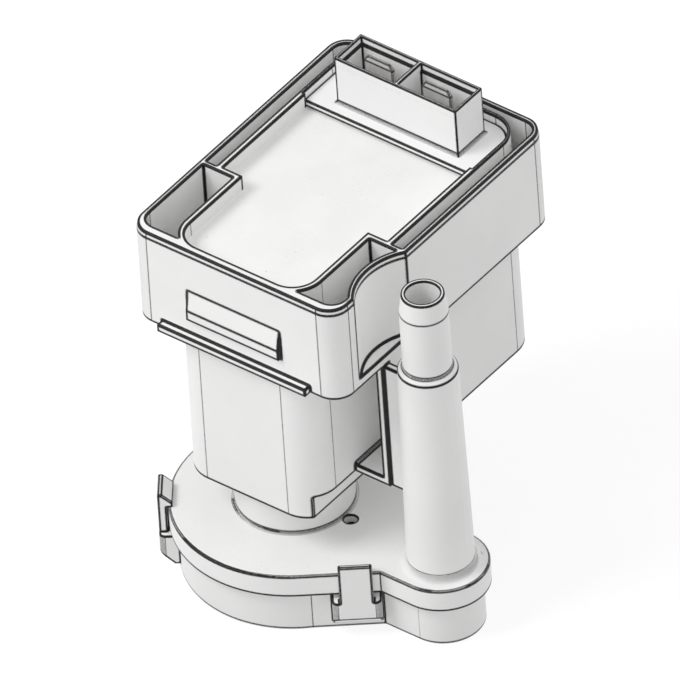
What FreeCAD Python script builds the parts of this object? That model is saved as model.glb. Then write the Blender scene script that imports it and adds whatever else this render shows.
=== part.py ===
"""A condensate pump: a potted motor in a square collar, over a clipped-on bowl with a rising outlet.

Millimetres and degrees. X runs to the right across the short side, Y to the back along the long
side and Z up. The origin is on the rotor's axis, in the flat underside of the bowl, at the inlet.
"""

import FreeCAD, Part
import math
import os
from types import SimpleNamespace

import Sketcher
from FreeCAD import Placement, Rotation, Vector

DRIVING_SIZES = (
    # The collar that the appliance grips, and the walls inside it.
    ("collar_width", 44.8, "width of the collar"),
    ("collar_front", 13.28, "front face of the collar, ahead of the rotor axis"),
    ("collar_back", 48.07, "back face of the collar, behind the rotor axis"),
    ("collar_height", 20.0, "height of the collar"),
    ("collar_corner", 4.0, "radius of the collar's upright corners"),
    ("collar_floor", 2.0, "thickness of the floor that joins the collar to the motor case"),
    ("collar_lead", 0.2, "how far the outer top edge of the collar leans in"),
    ("collar_lead_height", 1.1, "height of that lean"),
    ("rim_wall", 1.2, "wall of the collar"),
    ("rim_front_wall", 2.1, "front wall of the collar"),
    ("rim_level", 73.0, "top of the collar above the underside of the bowl"),
    ("stiffener", 1.0, "thickness of the ribs across the channel"),
    ("scallop_reach", 11.8, "radius of the hollow that clears the outlet pipe"),
    ("latch_width", 20.0, "width of the ramp on the front"),
    ("latch_reach", 0.75, "how far the ramp stands out"),
    ("latch_start", 9.0, "start of the ramp below the rim"),
    ("latch_full", 13.1, "end of the slope below the rim"),
    ("latch_foot", 15.2, "underside of the ramp below the rim"),
    ("ledge_width", 32.0, "length of the bar under the ramp"),
    ("ledge_section", 1.5, "side of the square bar"),
    # The motor case.
    ("case_wall", 1.2, "wall of the motor case"),
    ("case_corner", 6.0, "radius of the case's upright corners"),
    ("case_front", 12.73, "front of the case, ahead of the rotor axis"),
    ("case_back", 45.72, "back of the case, behind the rotor axis"),
    ("nose_width", 29.6, "width of the case round the rotor"),
    ("coil_width", 38.0, "width of the case round the coils"),
    ("coil_start", 6.94, "front of the wide part, behind the rotor axis"),
    ("nose_bottom", 21.6, "underside of the case round the rotor"),
    ("coil_bottom", 26.2, "underside of the case round the coils"),
    ("keel_side", 13.0, "right side of the lowest part of the nose, from the rotor axis"),
    ("keel_round", 0.4, "rounding of the front edge on that side"),
    ("keel_back", 9.2, "back of the lowest part of the nose, behind the rotor axis"),
    ("rebate_start", 31.72, "front of the rebate for the connector, behind the rotor axis"),
    ("rebate_wall", 0.7, "wall of the case round the rebate"),
    ("sleeve_wall", 0.7, "wall of the case's blind sleeve round the rotor can"),
    ("sleeve_gap", 0.15, "gap between sleeve and rotor can"),
    ("potting_depth", 3.4, "level of the potting below the rim"),
    # The bracket beside the outlet pipe.
    ("bracket_front", 1.18, "front edge of the bracket, ahead of the rotor axis"),
    ("bracket_wall", 1.5, "thickness of the bracket's walls"),
    ("bracket_fillet", 0.5, "fillet between the bracket and the case"),
    ("fin_thickness", 1.5, "thickness of the fin that steadies the pipe"),
    ("fin_gap", 0.15, "gap between the fin and the pipe"),
    # The connector.
    ("plate_drop", 1.65, "top of the connector plate below the rim"),
    ("plate_thickness", 1.3, "thickness of the connector plate"),
    ("plate_gap", 0.1, "gap round the connector plate"),
    ("plate_front", 31.82, "front edge of the connector plate, behind the rotor axis"),
    ("plate_corner", 5.0, "radius of the connector plate's back corners"),
    ("socket_width", 26.2, "outside width of the socket"),
    ("socket_depth", 7.6, "outside depth of the socket"),
    ("socket_height", 10.0, "height of the socket above its plate"),
    ("socket_wall", 0.7, "wall of the socket"),
    ("socket_fillet", 0.5, "fillet at the foot of the socket"),
    ("socket_lead", 0.25, "widening at the mouth of each chamber"),
    ("socket_lead_depth", 1.65, "depth of that widening"),
    ("socket_centre", 38.28, "middle of the socket, behind the rotor axis"),
    ("tab_width", 6.3, "width of a terminal tab"),
    ("tab_thickness", 0.8, "thickness of a terminal tab"),
    ("tab_pitch", 12.55, "spacing of the terminal tabs"),
    ("tab_nose", 1.1, "height of the tab's pointed end"),
    ("tab_point", 0.75, "how far each corner of that end is cut in"),
    ("tab_tail", 5.55, "length of a tab below the connector plate"),
    ("tab_shoulder", 0.8, "how far each side of a tab steps in under the plate"),
    ("tab_hole", 1.2, "bore of the hole through a tab"),
    ("tab_hole_drop", 3.3, "hole through a tab below its top"),
    # The iron and the coils.
    ("core_gap", 0.2, "gap between the iron and the case"),
    ("core_middle", 45.0, "mid height of the iron"),
    ("core_stack", 24.0, "height of the stack of laminations"),
    ("bore_gap", 0.15, "gap between the iron and the sleeve"),
    ("leg_width", 7.0, "width of a leg of the iron"),
    ("leg_centre", 8.9, "middle of a leg, beside the rotor axis"),
    ("pole_back", 11.6, "back of the pole ring, behind the rotor axis"),
    ("leg_end", 36.0, "back end of the legs, behind the rotor axis"),
    ("yoke_depth", 7.0, "depth of the yoke"),
    ("yoke_corner", 1.5, "radius of the yoke's back corners"),
    ("bobbin_wall", 1.0, "wall of a bobbin"),
    ("bobbin_gap", 0.1, "gap between a bobbin and its leg"),
    ("flange_thickness", 1.2, "thickness of a bobbin's flanges"),
    ("flange_width", 17.4, "width of a bobbin's flanges"),
    ("flange_rise", 4.3, "how far the flanges stand above the bobbin's tube"),
    ("winding_rise", 3.5, "depth of wire above and below the bobbin's tube"),
    ("winding_side", 3.2, "depth of wire beside the bobbin's tube"),
    ("winding_corner", 2.5, "rounding of the winding's corners"),
    ("bobbin_start", 12.6, "front of the bobbins, behind the rotor axis"),
    ("bobbin_end", 35.4, "back of the bobbins, behind the rotor axis"),
    ("wire_thickness", 0.8, "thickness of the insulated leads"),
    ("lead_rise", 1.6, "height at which a lead meets its tab, above the tab's lower end"),
    # The pump head: cover, rotor can and outlet pipe in one moulding.
    ("cover_radius", 22.0, "radius of the cover"),
    ("cover_top", 13.15, "top of the cover"),
    ("cover_bottom", 8.65, "lower edge of the cover's skirt"),
    ("cover_plate", 2.0, "thickness of the cover's plate"),
    ("cover_round", 0.3, "rounding of the cover's top edge"),
    ("flat_angle", 51.8, "direction that the cover's flats face, from the outlet"),
    ("outlet_offset", 31.6, "outlet pipe from the rotor axis"),
    ("lobe_radius", 8.5, "radius of the lobe under the outlet pipe"),
    ("pipe_base", 6.0, "radius of the pipe at its foot"),
    ("pipe_shoulder", 5.35, "radius of the pipe at its shoulder"),
    ("pipe_foot", 1.5, "fillet at the foot of the pipe"),
    ("shoulder_level", 56.5, "height of the shoulder"),
    ("shoulder_fillet", 0.6, "fillet between the sloping shoulder and the spigot"),
    ("spigot_radius", 4.35, "radius of the hose spigot"),
    ("spigot_edge", 69.5, "height where the spigot starts to narrow"),
    ("spigot_tip", 73.45, "top of the spigot"),
    ("spigot_tip_radius", 3.8, "radius of the spigot at its tip"),
    ("outlet_bore", 3.05, "radius of the outlet bore"),
    ("vent_offset", 12.0, "vent hole from the rotor axis"),
    ("vent_radius", 1.2, "radius of the vent hole"),
    ("neck_radius", 10.5, "radius of the neck"),
    ("neck_round", 0.5, "fillet at the foot of the neck"),
    ("neck_wall", 1.2, "wall of the neck"),
    ("can_step", 0.9, "how far the rotor can lies inside the neck's outside"),
    ("can_wall", 1.0, "wall of the rotor can"),
    ("seat_radius", 5.0, "radius of the upper bearing's seat"),
    ("seat_depth", 3.8, "depth of the upper bearing's seat"),
    ("can_roof", 1.0, "thickness over the upper bearing's seat"),
    # The bowl.
    ("bowl_inset", 1.35, "how far the bowl lies inside the cover's outline"),
    ("bowl_gap", 0.1, "gap between the bowl and the cover's skirt"),
    ("bowl_flat_inset", 0.1, "how much further in the bowl's flats lie"),
    ("bowl_wall", 1.5, "wall of the bowl"),
    ("bowl_floor", 1.5, "floor of the bowl"),
    ("bowl_round", 0.5, "rounding of the bowl's lower edge"),
    ("gasket_thickness", 0.8, "thickness of the gasket"),
    ("gasket_gap", 0.1, "gap outside the gasket"),
    ("inlet_radius", 6.0, "radius of the inlet"),
    ("chamber_radius", 15.2, "radius of the impeller's chamber"),
    ("chamber_wall", 1.2, "wall of the impeller's chamber"),
    ("chamber_gap", 0.75, "top of the chamber's wall below the bowl's rim"),
    ("duct_width", 8.4, "width of the duct to the outlet"),
    ("duct_length", 27.0, "end of the duct's walls, from the rotor axis"),
    ("clip_proud", 1.7, "how far the clips stand out from the side of the cover"),
    ("clip_gap", 0.1, "gap between clip and cover"),
    ("clip_thickness", 1.5, "thickness of a clip's strap"),
    ("clip_width", 5.9, "width of a clip's strap"),
    ("clip_top", 15.85, "top of the clips"),
    ("clip_round", 0.25, "rounding of a strap's outer edges"),
    ("clip_crown", 0.8, "flat on top of a clip"),
    ("hook_reach", 2.6, "depth of the hook at the top of a clip"),
    ("hook_nose", 0.95, "height of the hook's upright nose"),
    ("boss_width", 8.6, "width of the boss that carries a clip"),
    ("boss_top", 7.75, "top of the boss"),
    ("boss_edge", 4.15, "lower end of the boss's outer face"),
    ("boss_bottom", 1.65, "underside of the boss"),
    ("boss_bevel", 2.5, "how far the boss leans back down to its underside"),
    ("boss_round", 1.0, "rounding of the boss's upright edges"),
    ("front_clip_shift", 9.9, "front clip along its flat, from the flat's start"),
    ("left_clip_angle", 215.0, "direction of the left clip"),
    ("back_clip_angle", 93.0, "direction of the back clip"),
    # The rotor.
    ("shaft_radius", 1.5, "radius of the shaft"),
    ("shaft_tail", 0.35, "length of the shaft below its clip"),
    ("head_gap", 0.6, "gap over the shaft's upper end"),
    ("shaft_chamfer", 0.3, "chamfer on the shaft's ends"),
    ("running_gap", 0.03, "radial gap between the shaft and what it turns in"),
    ("end_gap", 0.15, "gap along the axis beside what turns"),
    ("magnet_gap", 0.6, "gap round the magnet"),
    ("magnet_rise", 7.3, "lower end of the magnet above the lower bearing's carrier"),
    ("magnet_length", 31.0, "length of the magnet"),
    ("hub_radius", 3.6, "radius of the rotor's moulded core"),
    ("hub_flange", 6.4, "radius of the core's end flanges"),
    ("hub_flange_thickness", 1.2, "thickness of the core's end flanges"),
    ("bearing_radius", 3.5, "outside radius of the bearings"),
    ("bearing_length", 4.4, "length of the bearings"),
    ("washer_radius", 2.9, "radius of the thrust washers"),
    ("washer_thickness", 0.5, "thickness of the thrust washers"),
    ("carrier_rise", 2.3, "underside of the lower bearing's carrier above the drive cup"),
    ("carrier_thickness", 5.2, "thickness of the lower bearing's carrier"),
    ("carrier_recess", 3.2, "depth of the recess in the carrier"),
    ("carrier_boss", 5.0, "radius of the carrier's boss round the bearing"),
    ("carrier_rim", 6.5, "radius inside the carrier's rim"),
    ("ring_section", 1.5, "thickness of the carrier's sealing ring"),
    ("ring_gap", 0.05, "gap on each side of the sealing ring"),
    ("ring_round", 0.35, "rounding of the sealing ring's edges"),
    # The impeller and its free-turning drive.
    ("impeller_bottom", 3.6, "underside of the impeller's hub"),
    ("tip_gap", 2.0, "gap between the blades' tips and the chamber's wall"),
    ("blade_height", 4.2, "height of the blades"),
    ("blade_thickness", 1.2, "thickness of the blades"),
    ("blade_count", 6, "number of blades"),
    ("disc_thickness", 1.0, "thickness of the disc over the blades"),
    ("disc_radius", 9.0, "radius of the disc over the blades"),
    ("impeller_hub", 3.1, "radius of the impeller's hub"),
    ("cup_radius", 6.6, "outside radius of the drive cup"),
    ("cup_bore", 5.4, "inside radius of the drive cup"),
    ("cup_depth", 3.9, "depth of the drive cup"),
    ("dog_hub", 2.7, "radius of the drive dog's hub"),
    ("dog_gap", 0.3, "gap round the drive dog in its cup"),
    ("dog_width", 2.4, "width of the drive dog's finger"),
    ("stop_width", 2.2, "width of the stop in the drive cup"),
    ("ring_clip_radius", 2.6, "outside radius of the clip under the impeller"),
    ("ring_clip_thickness", 0.5, "thickness of that clip"),
    ("ring_clip_groove", 0.4, "depth of the shaft's groove for that clip"),
)


class Size:
    """A number together with the formula on the sheet that gives it."""

    def __init__(self, formula, number):
        self.formula = formula
        self.number = number

    def __add__(self, other):
        other = as_size(other)
        return Size(f"({self.formula} + {other.formula})", self.number + other.number)

    def __sub__(self, other):
        other = as_size(other)
        return Size(f"({self.formula} - {other.formula})", self.number - other.number)

    def __rsub__(self, other):
        return as_size(other) - self

    def __mul__(self, other):
        other = as_size(other)
        return Size(f"({self.formula} * {other.formula})", self.number * other.number)

    def __truediv__(self, other):
        other = as_size(other)
        return Size(f"({self.formula} / {other.formula})", self.number / other.number)

    def __neg__(self):
        return Size(f"(0 - {self.formula})", -self.number)


def as_size(value):
    """A plain number as a Size."""
    return value if isinstance(value, Size) else Size(repr(value), value)


def cosine(angle):
    """The cosine of an angle in degrees."""
    return Size(f"cos({angle.formula})", math.cos(math.radians(angle.number)))


def sine(angle):
    """The sine of an angle in degrees."""
    return Size(f"sin({angle.formula})", math.sin(math.radians(angle.number)))


def fill_sheet(sheet):
    """Write the driving sizes to the sheet and give each back as a Size by its alias."""
    found = {}
    for row, (alias, number, meaning) in enumerate(DRIVING_SIZES, start=1):
        sheet.set(f"A{row}", meaning)
        sheet.set(f"B{row}", str(number))
        sheet.setAlias(f"B{row}", alias)
        found[alias] = Size(f"{sheet.Name}.{alias}", number)
    return SimpleNamespace(**found)


doc = FreeCAD.newDocument("CondensatePump")
dims = fill_sheet(doc.addObject("Spreadsheet::Sheet", "Sizes"))
doc.recompute()

ZERO = Size("0", 0.0)
UPRIGHT = Rotation(Vector(1, 0, 0), 90)
SIDEWAYS = Rotation(Vector(1, 1, 1), 120)
OVERLAP = Size("0.5", 0.5)
TOUCH = 1e-4
BESIDE = 0.1


def bind(thing, prop, size):
    """Tie a property to the sheet."""
    thing.setExpression(prop, as_size(size).formula)


def place(thing, x=ZERO, y=ZERO, z=ZERO, turn=Rotation()):
    """Put a piece at a bound place, turned by a fixed rotation."""
    thing.Placement = Placement(Vector(x.number, y.number, z.number), turn)
    for axis, size in zip("xyz", (x, y, z)):
        if size is not ZERO:
            bind(thing, f"Placement.Base.{axis}", size)


def pin_point(sketch, geometry, position, x, y):
    """Hold one point of a sketch at bound coordinates."""
    for kind, size in (("DistanceX", x), ("DistanceY", y)):
        index = sketch.addConstraint(Sketcher.Constraint(kind, -1, 1, geometry, position, size.number))
        bind(sketch, f"Constraints[{index}]", size)


def hold_radius(sketch, geometry, size):
    """Hold the radius of an arc or circle."""
    index = sketch.addConstraint(Sketcher.Constraint("Radius", geometry, size.number))
    bind(sketch, f"Constraints[{index}]", size)


def draw_loop(sketch, corners):
    """Draw a closed run of lines through the corners; a corner's third value rounds it."""
    count = len(corners)
    points = [Vector(corner[0].number, corner[1].number, 0) for corner in corners]
    entries = list(points)
    exits = list(points)
    arcs = {}
    for i, corner in enumerate(corners):
        if len(corner) == 2:
            continue
        into = (points[i] - points[i - 1]).normalize()
        out = (points[(i + 1) % count] - points[i]).normalize()
        radius = corner[2].number
        setback = radius * math.tan(into.getAngle(out) / 2)
        entries[i] = points[i] - into * setback
        exits[i] = points[i] + out * setback
        turns_left = into.cross(out).z > 0
        inward = Vector(-into.y, into.x, 0) if turns_left else Vector(into.y, -into.x, 0)
        centre = entries[i] + inward * radius
        first, last = (entries[i], exits[i]) if turns_left else (exits[i], entries[i])
        start = math.atan2(first.y - centre.y, first.x - centre.x)
        end = math.atan2(last.y - centre.y, last.x - centre.x)
        if end < start:
            end += 2 * math.pi
        circle = Part.Circle(centre, Vector(0, 0, 1), radius)
        arcs[i] = (Part.ArcOfCircle(circle, start, end), turns_left)
    first_line = sketch.GeometryCount
    for i in range(count):
        sketch.addGeometry(Part.LineSegment(exits[i], entries[(i + 1) % count]), False)
    for i, corner in enumerate(corners):
        before = first_line + (i - 1) % count
        after = first_line + i
        if i not in arcs:
            sketch.addConstraint(Sketcher.Constraint("Coincident", before, 2, after, 1))
            pin_point(sketch, after, 1, corner[0], corner[1])
            continue
        arc, turns_left = arcs[i]
        bend = sketch.addGeometry(arc, False)
        peak = sketch.addGeometry(Part.Point(points[i]), True)
        near, far = (1, 2) if turns_left else (2, 1)
        sketch.addConstraint([
            Sketcher.Constraint("Tangent", before, 2, bend, near),
            Sketcher.Constraint("Tangent", after, 1, bend, far),
            Sketcher.Constraint("PointOnObject", peak, 1, before),
            Sketcher.Constraint("PointOnObject", peak, 1, after),
        ])
        pin_point(sketch, peak, 1, corner[0], corner[1])
        hold_radius(sketch, bend, corner[2])


def draw_circle(sketch, x, y, radius):
    """Draw a circle."""
    centre = Vector(x.number, y.number, 0)
    ring = sketch.addGeometry(Part.Circle(centre, Vector(0, 0, 1), radius.number), False)
    pin_point(sketch, ring, 3, x, y)
    hold_radius(sketch, ring, radius)


def box_corners(low_x, high_x, low_y, high_y, front=None, back=None):
    """The corners of a rectangle, with its front and back pairs rounded if wanted."""
    front_pair = () if front is None else (front,)
    back_pair = () if back is None else (back,)
    return [
        (low_x, low_y) + front_pair,
        (high_x, low_y) + front_pair,
        (high_x, high_y) + back_pair,
        (low_x, high_y) + back_pair,
    ]


def finish_extrusion(name, sketch, length, centred=False):
    """Extrude a sketch along its normal."""
    solid = doc.addObject("Part::Extrusion", name)
    solid.Base = sketch
    solid.DirMode = "Normal"
    solid.Solid = True
    solid.Symmetric = centred
    bind(solid, "LengthFwd", length)
    return solid


def upright_prism(name, corners, low, high):
    """A prism that stands on the level low and reaches up to the level high."""
    sketch = doc.addObject("Sketcher::SketchObject", f"{name}_outline")
    place(sketch, z=low)
    draw_loop(sketch, corners)
    return finish_extrusion(name, sketch, high - low)


def side_prism(name, corners, width):
    """A prism across the object: corners are (y, z) and it is centred on x = 0."""
    sketch = doc.addObject("Sketcher::SketchObject", f"{name}_outline")
    place(sketch, turn=SIDEWAYS)
    draw_loop(sketch, corners)
    return finish_extrusion(name, sketch, width, centred=True)


def facing_prism(name, corners, width, middle=ZERO):
    """A prism along the object: corners are (x, z) and middle is the y of its middle."""
    sketch = doc.addObject("Sketcher::SketchObject", f"{name}_outline")
    place(sketch, y=middle, turn=UPRIGHT)
    draw_loop(sketch, corners)
    return finish_extrusion(name, sketch, width, centred=True)


def disc(name, radius, low, high, x=ZERO, y=ZERO):
    """An upright cylinder."""
    solid = doc.addObject("Part::Cylinder", name)
    bind(solid, "Radius", radius)
    bind(solid, "Height", high - low)
    place(solid, x=x, y=y, z=low)
    return solid


def block(name, low_x, high_x, low_y, high_y, low_z, high_z):
    """A box between bound planes."""
    solid = doc.addObject("Part::Box", name)
    bind(solid, "Length", high_x - low_x)
    bind(solid, "Width", high_y - low_y)
    bind(solid, "Height", high_z - low_z)
    place(solid, x=low_x, y=low_y, z=low_z)
    return solid


def spun(name, corners, x=ZERO):
    """A solid of revolution: corners are (radius, level), about an upright axis."""
    sketch = doc.addObject("Sketcher::SketchObject", f"{name}_profile")
    place(sketch, turn=UPRIGHT)
    draw_loop(sketch, corners)
    solid = doc.addObject("Part::Revolution", name)
    solid.Source = sketch
    solid.Axis = Vector(0, 0, 1)
    solid.Angle = 360
    solid.Solid = True
    place(solid, x=x)
    return solid


def fuse(name, *solids):
    """Join solids into one."""
    whole = doc.addObject("Part::MultiFuse", name)
    whole.Shapes = list(solids)
    whole.Refine = True
    return whole


def cut(name, base, *tools):
    """Cut solids out of a base."""
    result = doc.addObject("Part::Cut", name)
    result.Base = base
    result.Tool = tools[0] if len(tools) == 1 else fuse(f"{name}_tools", *tools)
    result.Refine = True
    return result


def lies_at(edge, level):
    """Whether an edge lies flat at a level."""
    box = edge.BoundBox
    return abs(box.ZMin - level.number) < TOUCH and abs(box.ZMax - level.number) < TOUCH


def lies_across(edge, x):
    """Whether an edge lies in the plane across the object at x."""
    box = edge.BoundBox
    return abs(box.XMin - x.number) < TOUCH and abs(box.XMax - x.number) < TOUCH


def round_edges(name, base, chosen, radius):
    """Round the edges that chosen() picks."""
    doc.recompute()
    picked = [i for i, edge in enumerate(base.Shape.Edges, start=1) if chosen(edge)]
    if not picked:
        raise RuntimeError(f"{name}: no edge to round")
    result = doc.addObject("Part::Fillet", name)
    result.Base = base
    result.Edges = [(i, radius.number, radius.number) for i in picked]
    return result


def pump_outline(name, inset, low, high, flat_inset=ZERO):
    """The outline that cover, gasket and bowl share: a circle, two flats and the outlet's lobe."""
    round_part = disc(f"{name}_round", dims.cover_radius - inset, low, high)
    lobe_reach = dims.lobe_radius - inset
    lobe = disc(f"{name}_lobe", lobe_reach, low, high, x=dims.outlet_offset)
    flat_reach = dims.cover_radius - inset - flat_inset
    touch_x = flat_reach * cosine(dims.flat_angle)
    touch_y = flat_reach * sine(dims.flat_angle)
    knee_x = (flat_reach - lobe_reach * sine(dims.flat_angle)) / cosine(dims.flat_angle)
    corners = [
        (touch_x, -touch_y),
        (knee_x, -lobe_reach),
        (dims.outlet_offset, -lobe_reach),
        (dims.outlet_offset, lobe_reach),
        (knee_x, lobe_reach),
        (touch_x, touch_y),
    ]
    return fuse(name, round_part, lobe, upright_prism(f"{name}_shoulder", corners, low, high))


rim = dims.rim_level
collar_bottom = rim - dims.collar_height
collar_half = dims.collar_width / 2
floor_top = collar_bottom + dims.collar_floor
nose_half = dims.nose_width / 2
coil_half = dims.coil_width / 2
potting_top = rim - dims.potting_depth
plate_top = rim - dims.plate_drop
plate_bottom = plate_top - dims.plate_thickness
blades_top = dims.impeller_bottom + dims.blade_height
cup_floor = blades_top + dims.disc_thickness
cup_top = cup_floor + dims.cup_depth
carrier_bottom = cup_top + dims.carrier_rise
carrier_top = carrier_bottom + dims.carrier_thickness
magnet_bottom = carrier_top + dims.magnet_rise
magnet_top = magnet_bottom + dims.magnet_length
washer_foot = magnet_top + dims.hub_flange_thickness
seat_top = washer_foot + dims.washer_thickness + dims.end_gap + dims.bearing_length
can_ceiling = seat_top - dims.seat_depth
can_top = seat_top + dims.can_roof
clip_ring_top = dims.impeller_bottom - dims.end_gap
clip_ring_bottom = clip_ring_top - dims.ring_clip_thickness
neck_bore = dims.neck_radius - dims.neck_wall
can_radius = dims.neck_radius - dims.can_step
can_bore = can_radius - dims.can_wall
magnet_radius = can_bore - dims.magnet_gap
sleeve_bore = can_radius + dims.sleeve_gap
sleeve_radius = sleeve_bore + dims.sleeve_wall
sleeve_ceiling = can_top + dims.sleeve_gap
core_bottom = dims.core_middle - dims.core_stack / 2
core_top = dims.core_middle + dims.core_stack / 2
cover_ceiling = dims.cover_top - dims.cover_plate
bowl_rim = cover_ceiling - dims.gasket_thickness


def motor_case_outline(name, shrink, low_nose, low_coil, top):
    """The T-shaped outline of the motor case, taken in by shrink on every side."""
    nose = upright_prism(
        f"{name}_nose",
        box_corners(
            -(nose_half - shrink), nose_half - shrink,
            -(dims.case_front - shrink), dims.coil_start + shrink + OVERLAP,
            front=dims.case_corner - shrink,
        ),
        low_nose, top,
    )
    coils = upright_prism(
        f"{name}_coils",
        box_corners(
            -(coil_half - shrink), coil_half - shrink,
            dims.coil_start + shrink, dims.case_back - shrink,
            back=dims.case_corner - shrink,
        ),
        low_coil, top,
    )
    return nose, coils


def keel_prism(name, shrink):
    """The lowest part of the nose, taken in by shrink: it is cut short on the right."""
    low = dims.nose_bottom + shrink
    high = dims.coil_bottom + shrink + OVERLAP
    whole = upright_prism(
        f"{name}_whole",
        box_corners(
            -(nose_half - shrink), nose_half - shrink,
            -(dims.case_front - shrink), dims.keel_back - shrink,
            front=dims.case_corner - shrink,
        ),
        low, high,
    )
    side = dims.keel_side - shrink
    kept = block(f"{name}_kept", -nose_half, side, -dims.case_front, dims.keel_back, low, high)
    keel = doc.addObject("Part::Common", name)
    keel.Base = whole
    keel.Tool = kept
    return round_edges(
        f"{name}_rounded", keel,
        lambda edge: lies_across(edge, side) and edge.BoundBox.YMax < 0,
        dims.keel_round,
    )


def build_case_inside():
    """The room inside the motor case, which the iron, the coils and the potting share."""
    keel = keel_prism("case_inside_keel", dims.case_wall)
    nose, coils = motor_case_outline(
        "case_inside", dims.case_wall,
        dims.coil_bottom + dims.case_wall, dims.coil_bottom + dims.case_wall, rim + OVERLAP,
    )
    return fuse("case_inside", keel, nose, coils)


def build_collar():
    """The collar with its channel, corner pockets and the hollow beside the outlet pipe."""
    outer = upright_prism(
        "collar_block",
        box_corners(
            -collar_half, collar_half, -dims.collar_front, dims.collar_back,
            front=dims.collar_corner, back=dims.collar_corner,
        ),
        collar_bottom, rim,
    )
    scallop = disc("scallop", dims.scallop_reach, floor_top, rim + OVERLAP, x=dims.outlet_offset)
    scallop_wall = disc(
        "scallop_wall", dims.scallop_reach + dims.rim_wall, floor_top - OVERLAP, rim + OVERLAP,
        x=dims.outlet_offset,
    )
    inner_corner = dims.collar_corner - dims.rim_wall
    hollow = upright_prism(
        "collar_hollow",
        box_corners(
            -(collar_half - dims.rim_wall), collar_half - dims.rim_wall,
            -(dims.collar_front - dims.rim_front_wall), dims.collar_back - dims.rim_wall,
            front=inner_corner, back=inner_corner,
        ),
        floor_top, rim + OVERLAP,
    )
    nose, coils = motor_case_outline("case_upper", ZERO, collar_bottom, collar_bottom, rim)
    ribs = block(
        "channel_ribs",
        -(collar_half - dims.rim_wall / 2), collar_half - dims.rim_wall / 2,
        dims.coil_start, dims.coil_start + dims.stiffener,
        floor_top, rim,
    )
    channel = cut("collar_channel", hollow, scallop_wall, nose, coils, ribs)
    cut_back = cut("collar_cut", outer, scallop, channel)

    def outer_top_edge(edge):
        """Whether an edge is part of the collar's outer outline at the rim."""
        if not lies_at(edge, rim):
            return False
        middle = edge.valueAt((edge.FirstParameter + edge.LastParameter) / 2)
        wall = dims.rim_wall.number / 2
        beyond_side = abs(middle.x) > collar_half.number - wall
        beyond_front = middle.y < -dims.collar_front.number + wall
        beyond_back = middle.y > dims.collar_back.number - wall
        corner_reach = dims.collar_corner.number - wall
        dx = abs(middle.x) - (collar_half.number - dims.collar_corner.number)
        front_dy = -middle.y - (dims.collar_front.number - dims.collar_corner.number)
        back_dy = middle.y - (dims.collar_back.number - dims.collar_corner.number)
        dy = max(front_dy, back_dy)
        in_corner = dx > 0 and dy > 0 and math.hypot(dx, dy) > corner_reach
        from_pipe = math.hypot(middle.x - dims.outlet_offset.number, middle.y)
        on_scallop = abs(from_pipe - dims.scallop_reach.number) < wall and middle.x < collar_half.number
        return beyond_side or beyond_front or beyond_back or in_corner or on_scallop

    doc.recompute()
    picked = [i for i, edge in enumerate(cut_back.Shape.Edges, start=1) if outer_top_edge(edge)]
    leaning = doc.addObject("Part::Chamfer", "collar_leaning")
    leaning.Base = cut_back
    leaning.Edges = [(i, dims.collar_lead_height.number, dims.collar_lead.number) for i in picked]
    return leaning


def build_bracket():
    """The shelf and wall beside the nose, and the fin that steadies the outlet pipe."""
    back = dims.coil_start + OVERLAP
    shelf_top = dims.coil_bottom + dims.bracket_wall
    plates = facing_prism(
        "bracket_plates",
        [
            (nose_half - OVERLAP, dims.coil_bottom),
            (collar_half, dims.coil_bottom),
            (collar_half, collar_bottom + OVERLAP),
            (collar_half - dims.bracket_wall, collar_bottom + OVERLAP),
            (collar_half - dims.bracket_wall, shelf_top),
            (nose_half, shelf_top, dims.bracket_fillet),
            (nose_half, shelf_top + dims.bracket_wall),
            (nose_half - OVERLAP, shelf_top + dims.bracket_wall),
        ],
        back + dims.bracket_front,
        middle=(back - dims.bracket_front) / 2,
    )
    taper = (dims.pipe_base - dims.pipe_shoulder) / (dims.shoulder_level - dims.cover_top)
    pipe_low = dims.pipe_base - taper * (dims.coil_bottom - dims.cover_top)
    pipe_high = dims.pipe_base - taper * (collar_bottom - dims.cover_top)
    low_reach = dims.outlet_offset - pipe_low - dims.fin_gap
    high_reach = dims.outlet_offset - pipe_high - dims.fin_gap
    fin = facing_prism(
        "fin",
        [
            (collar_half - OVERLAP, dims.coil_bottom),
            (low_reach, dims.coil_bottom),
            (high_reach, collar_bottom),
            (collar_half - OVERLAP, collar_bottom),
        ],
        dims.fin_thickness,
    )
    return fuse("bracket", plates, fin)


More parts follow.
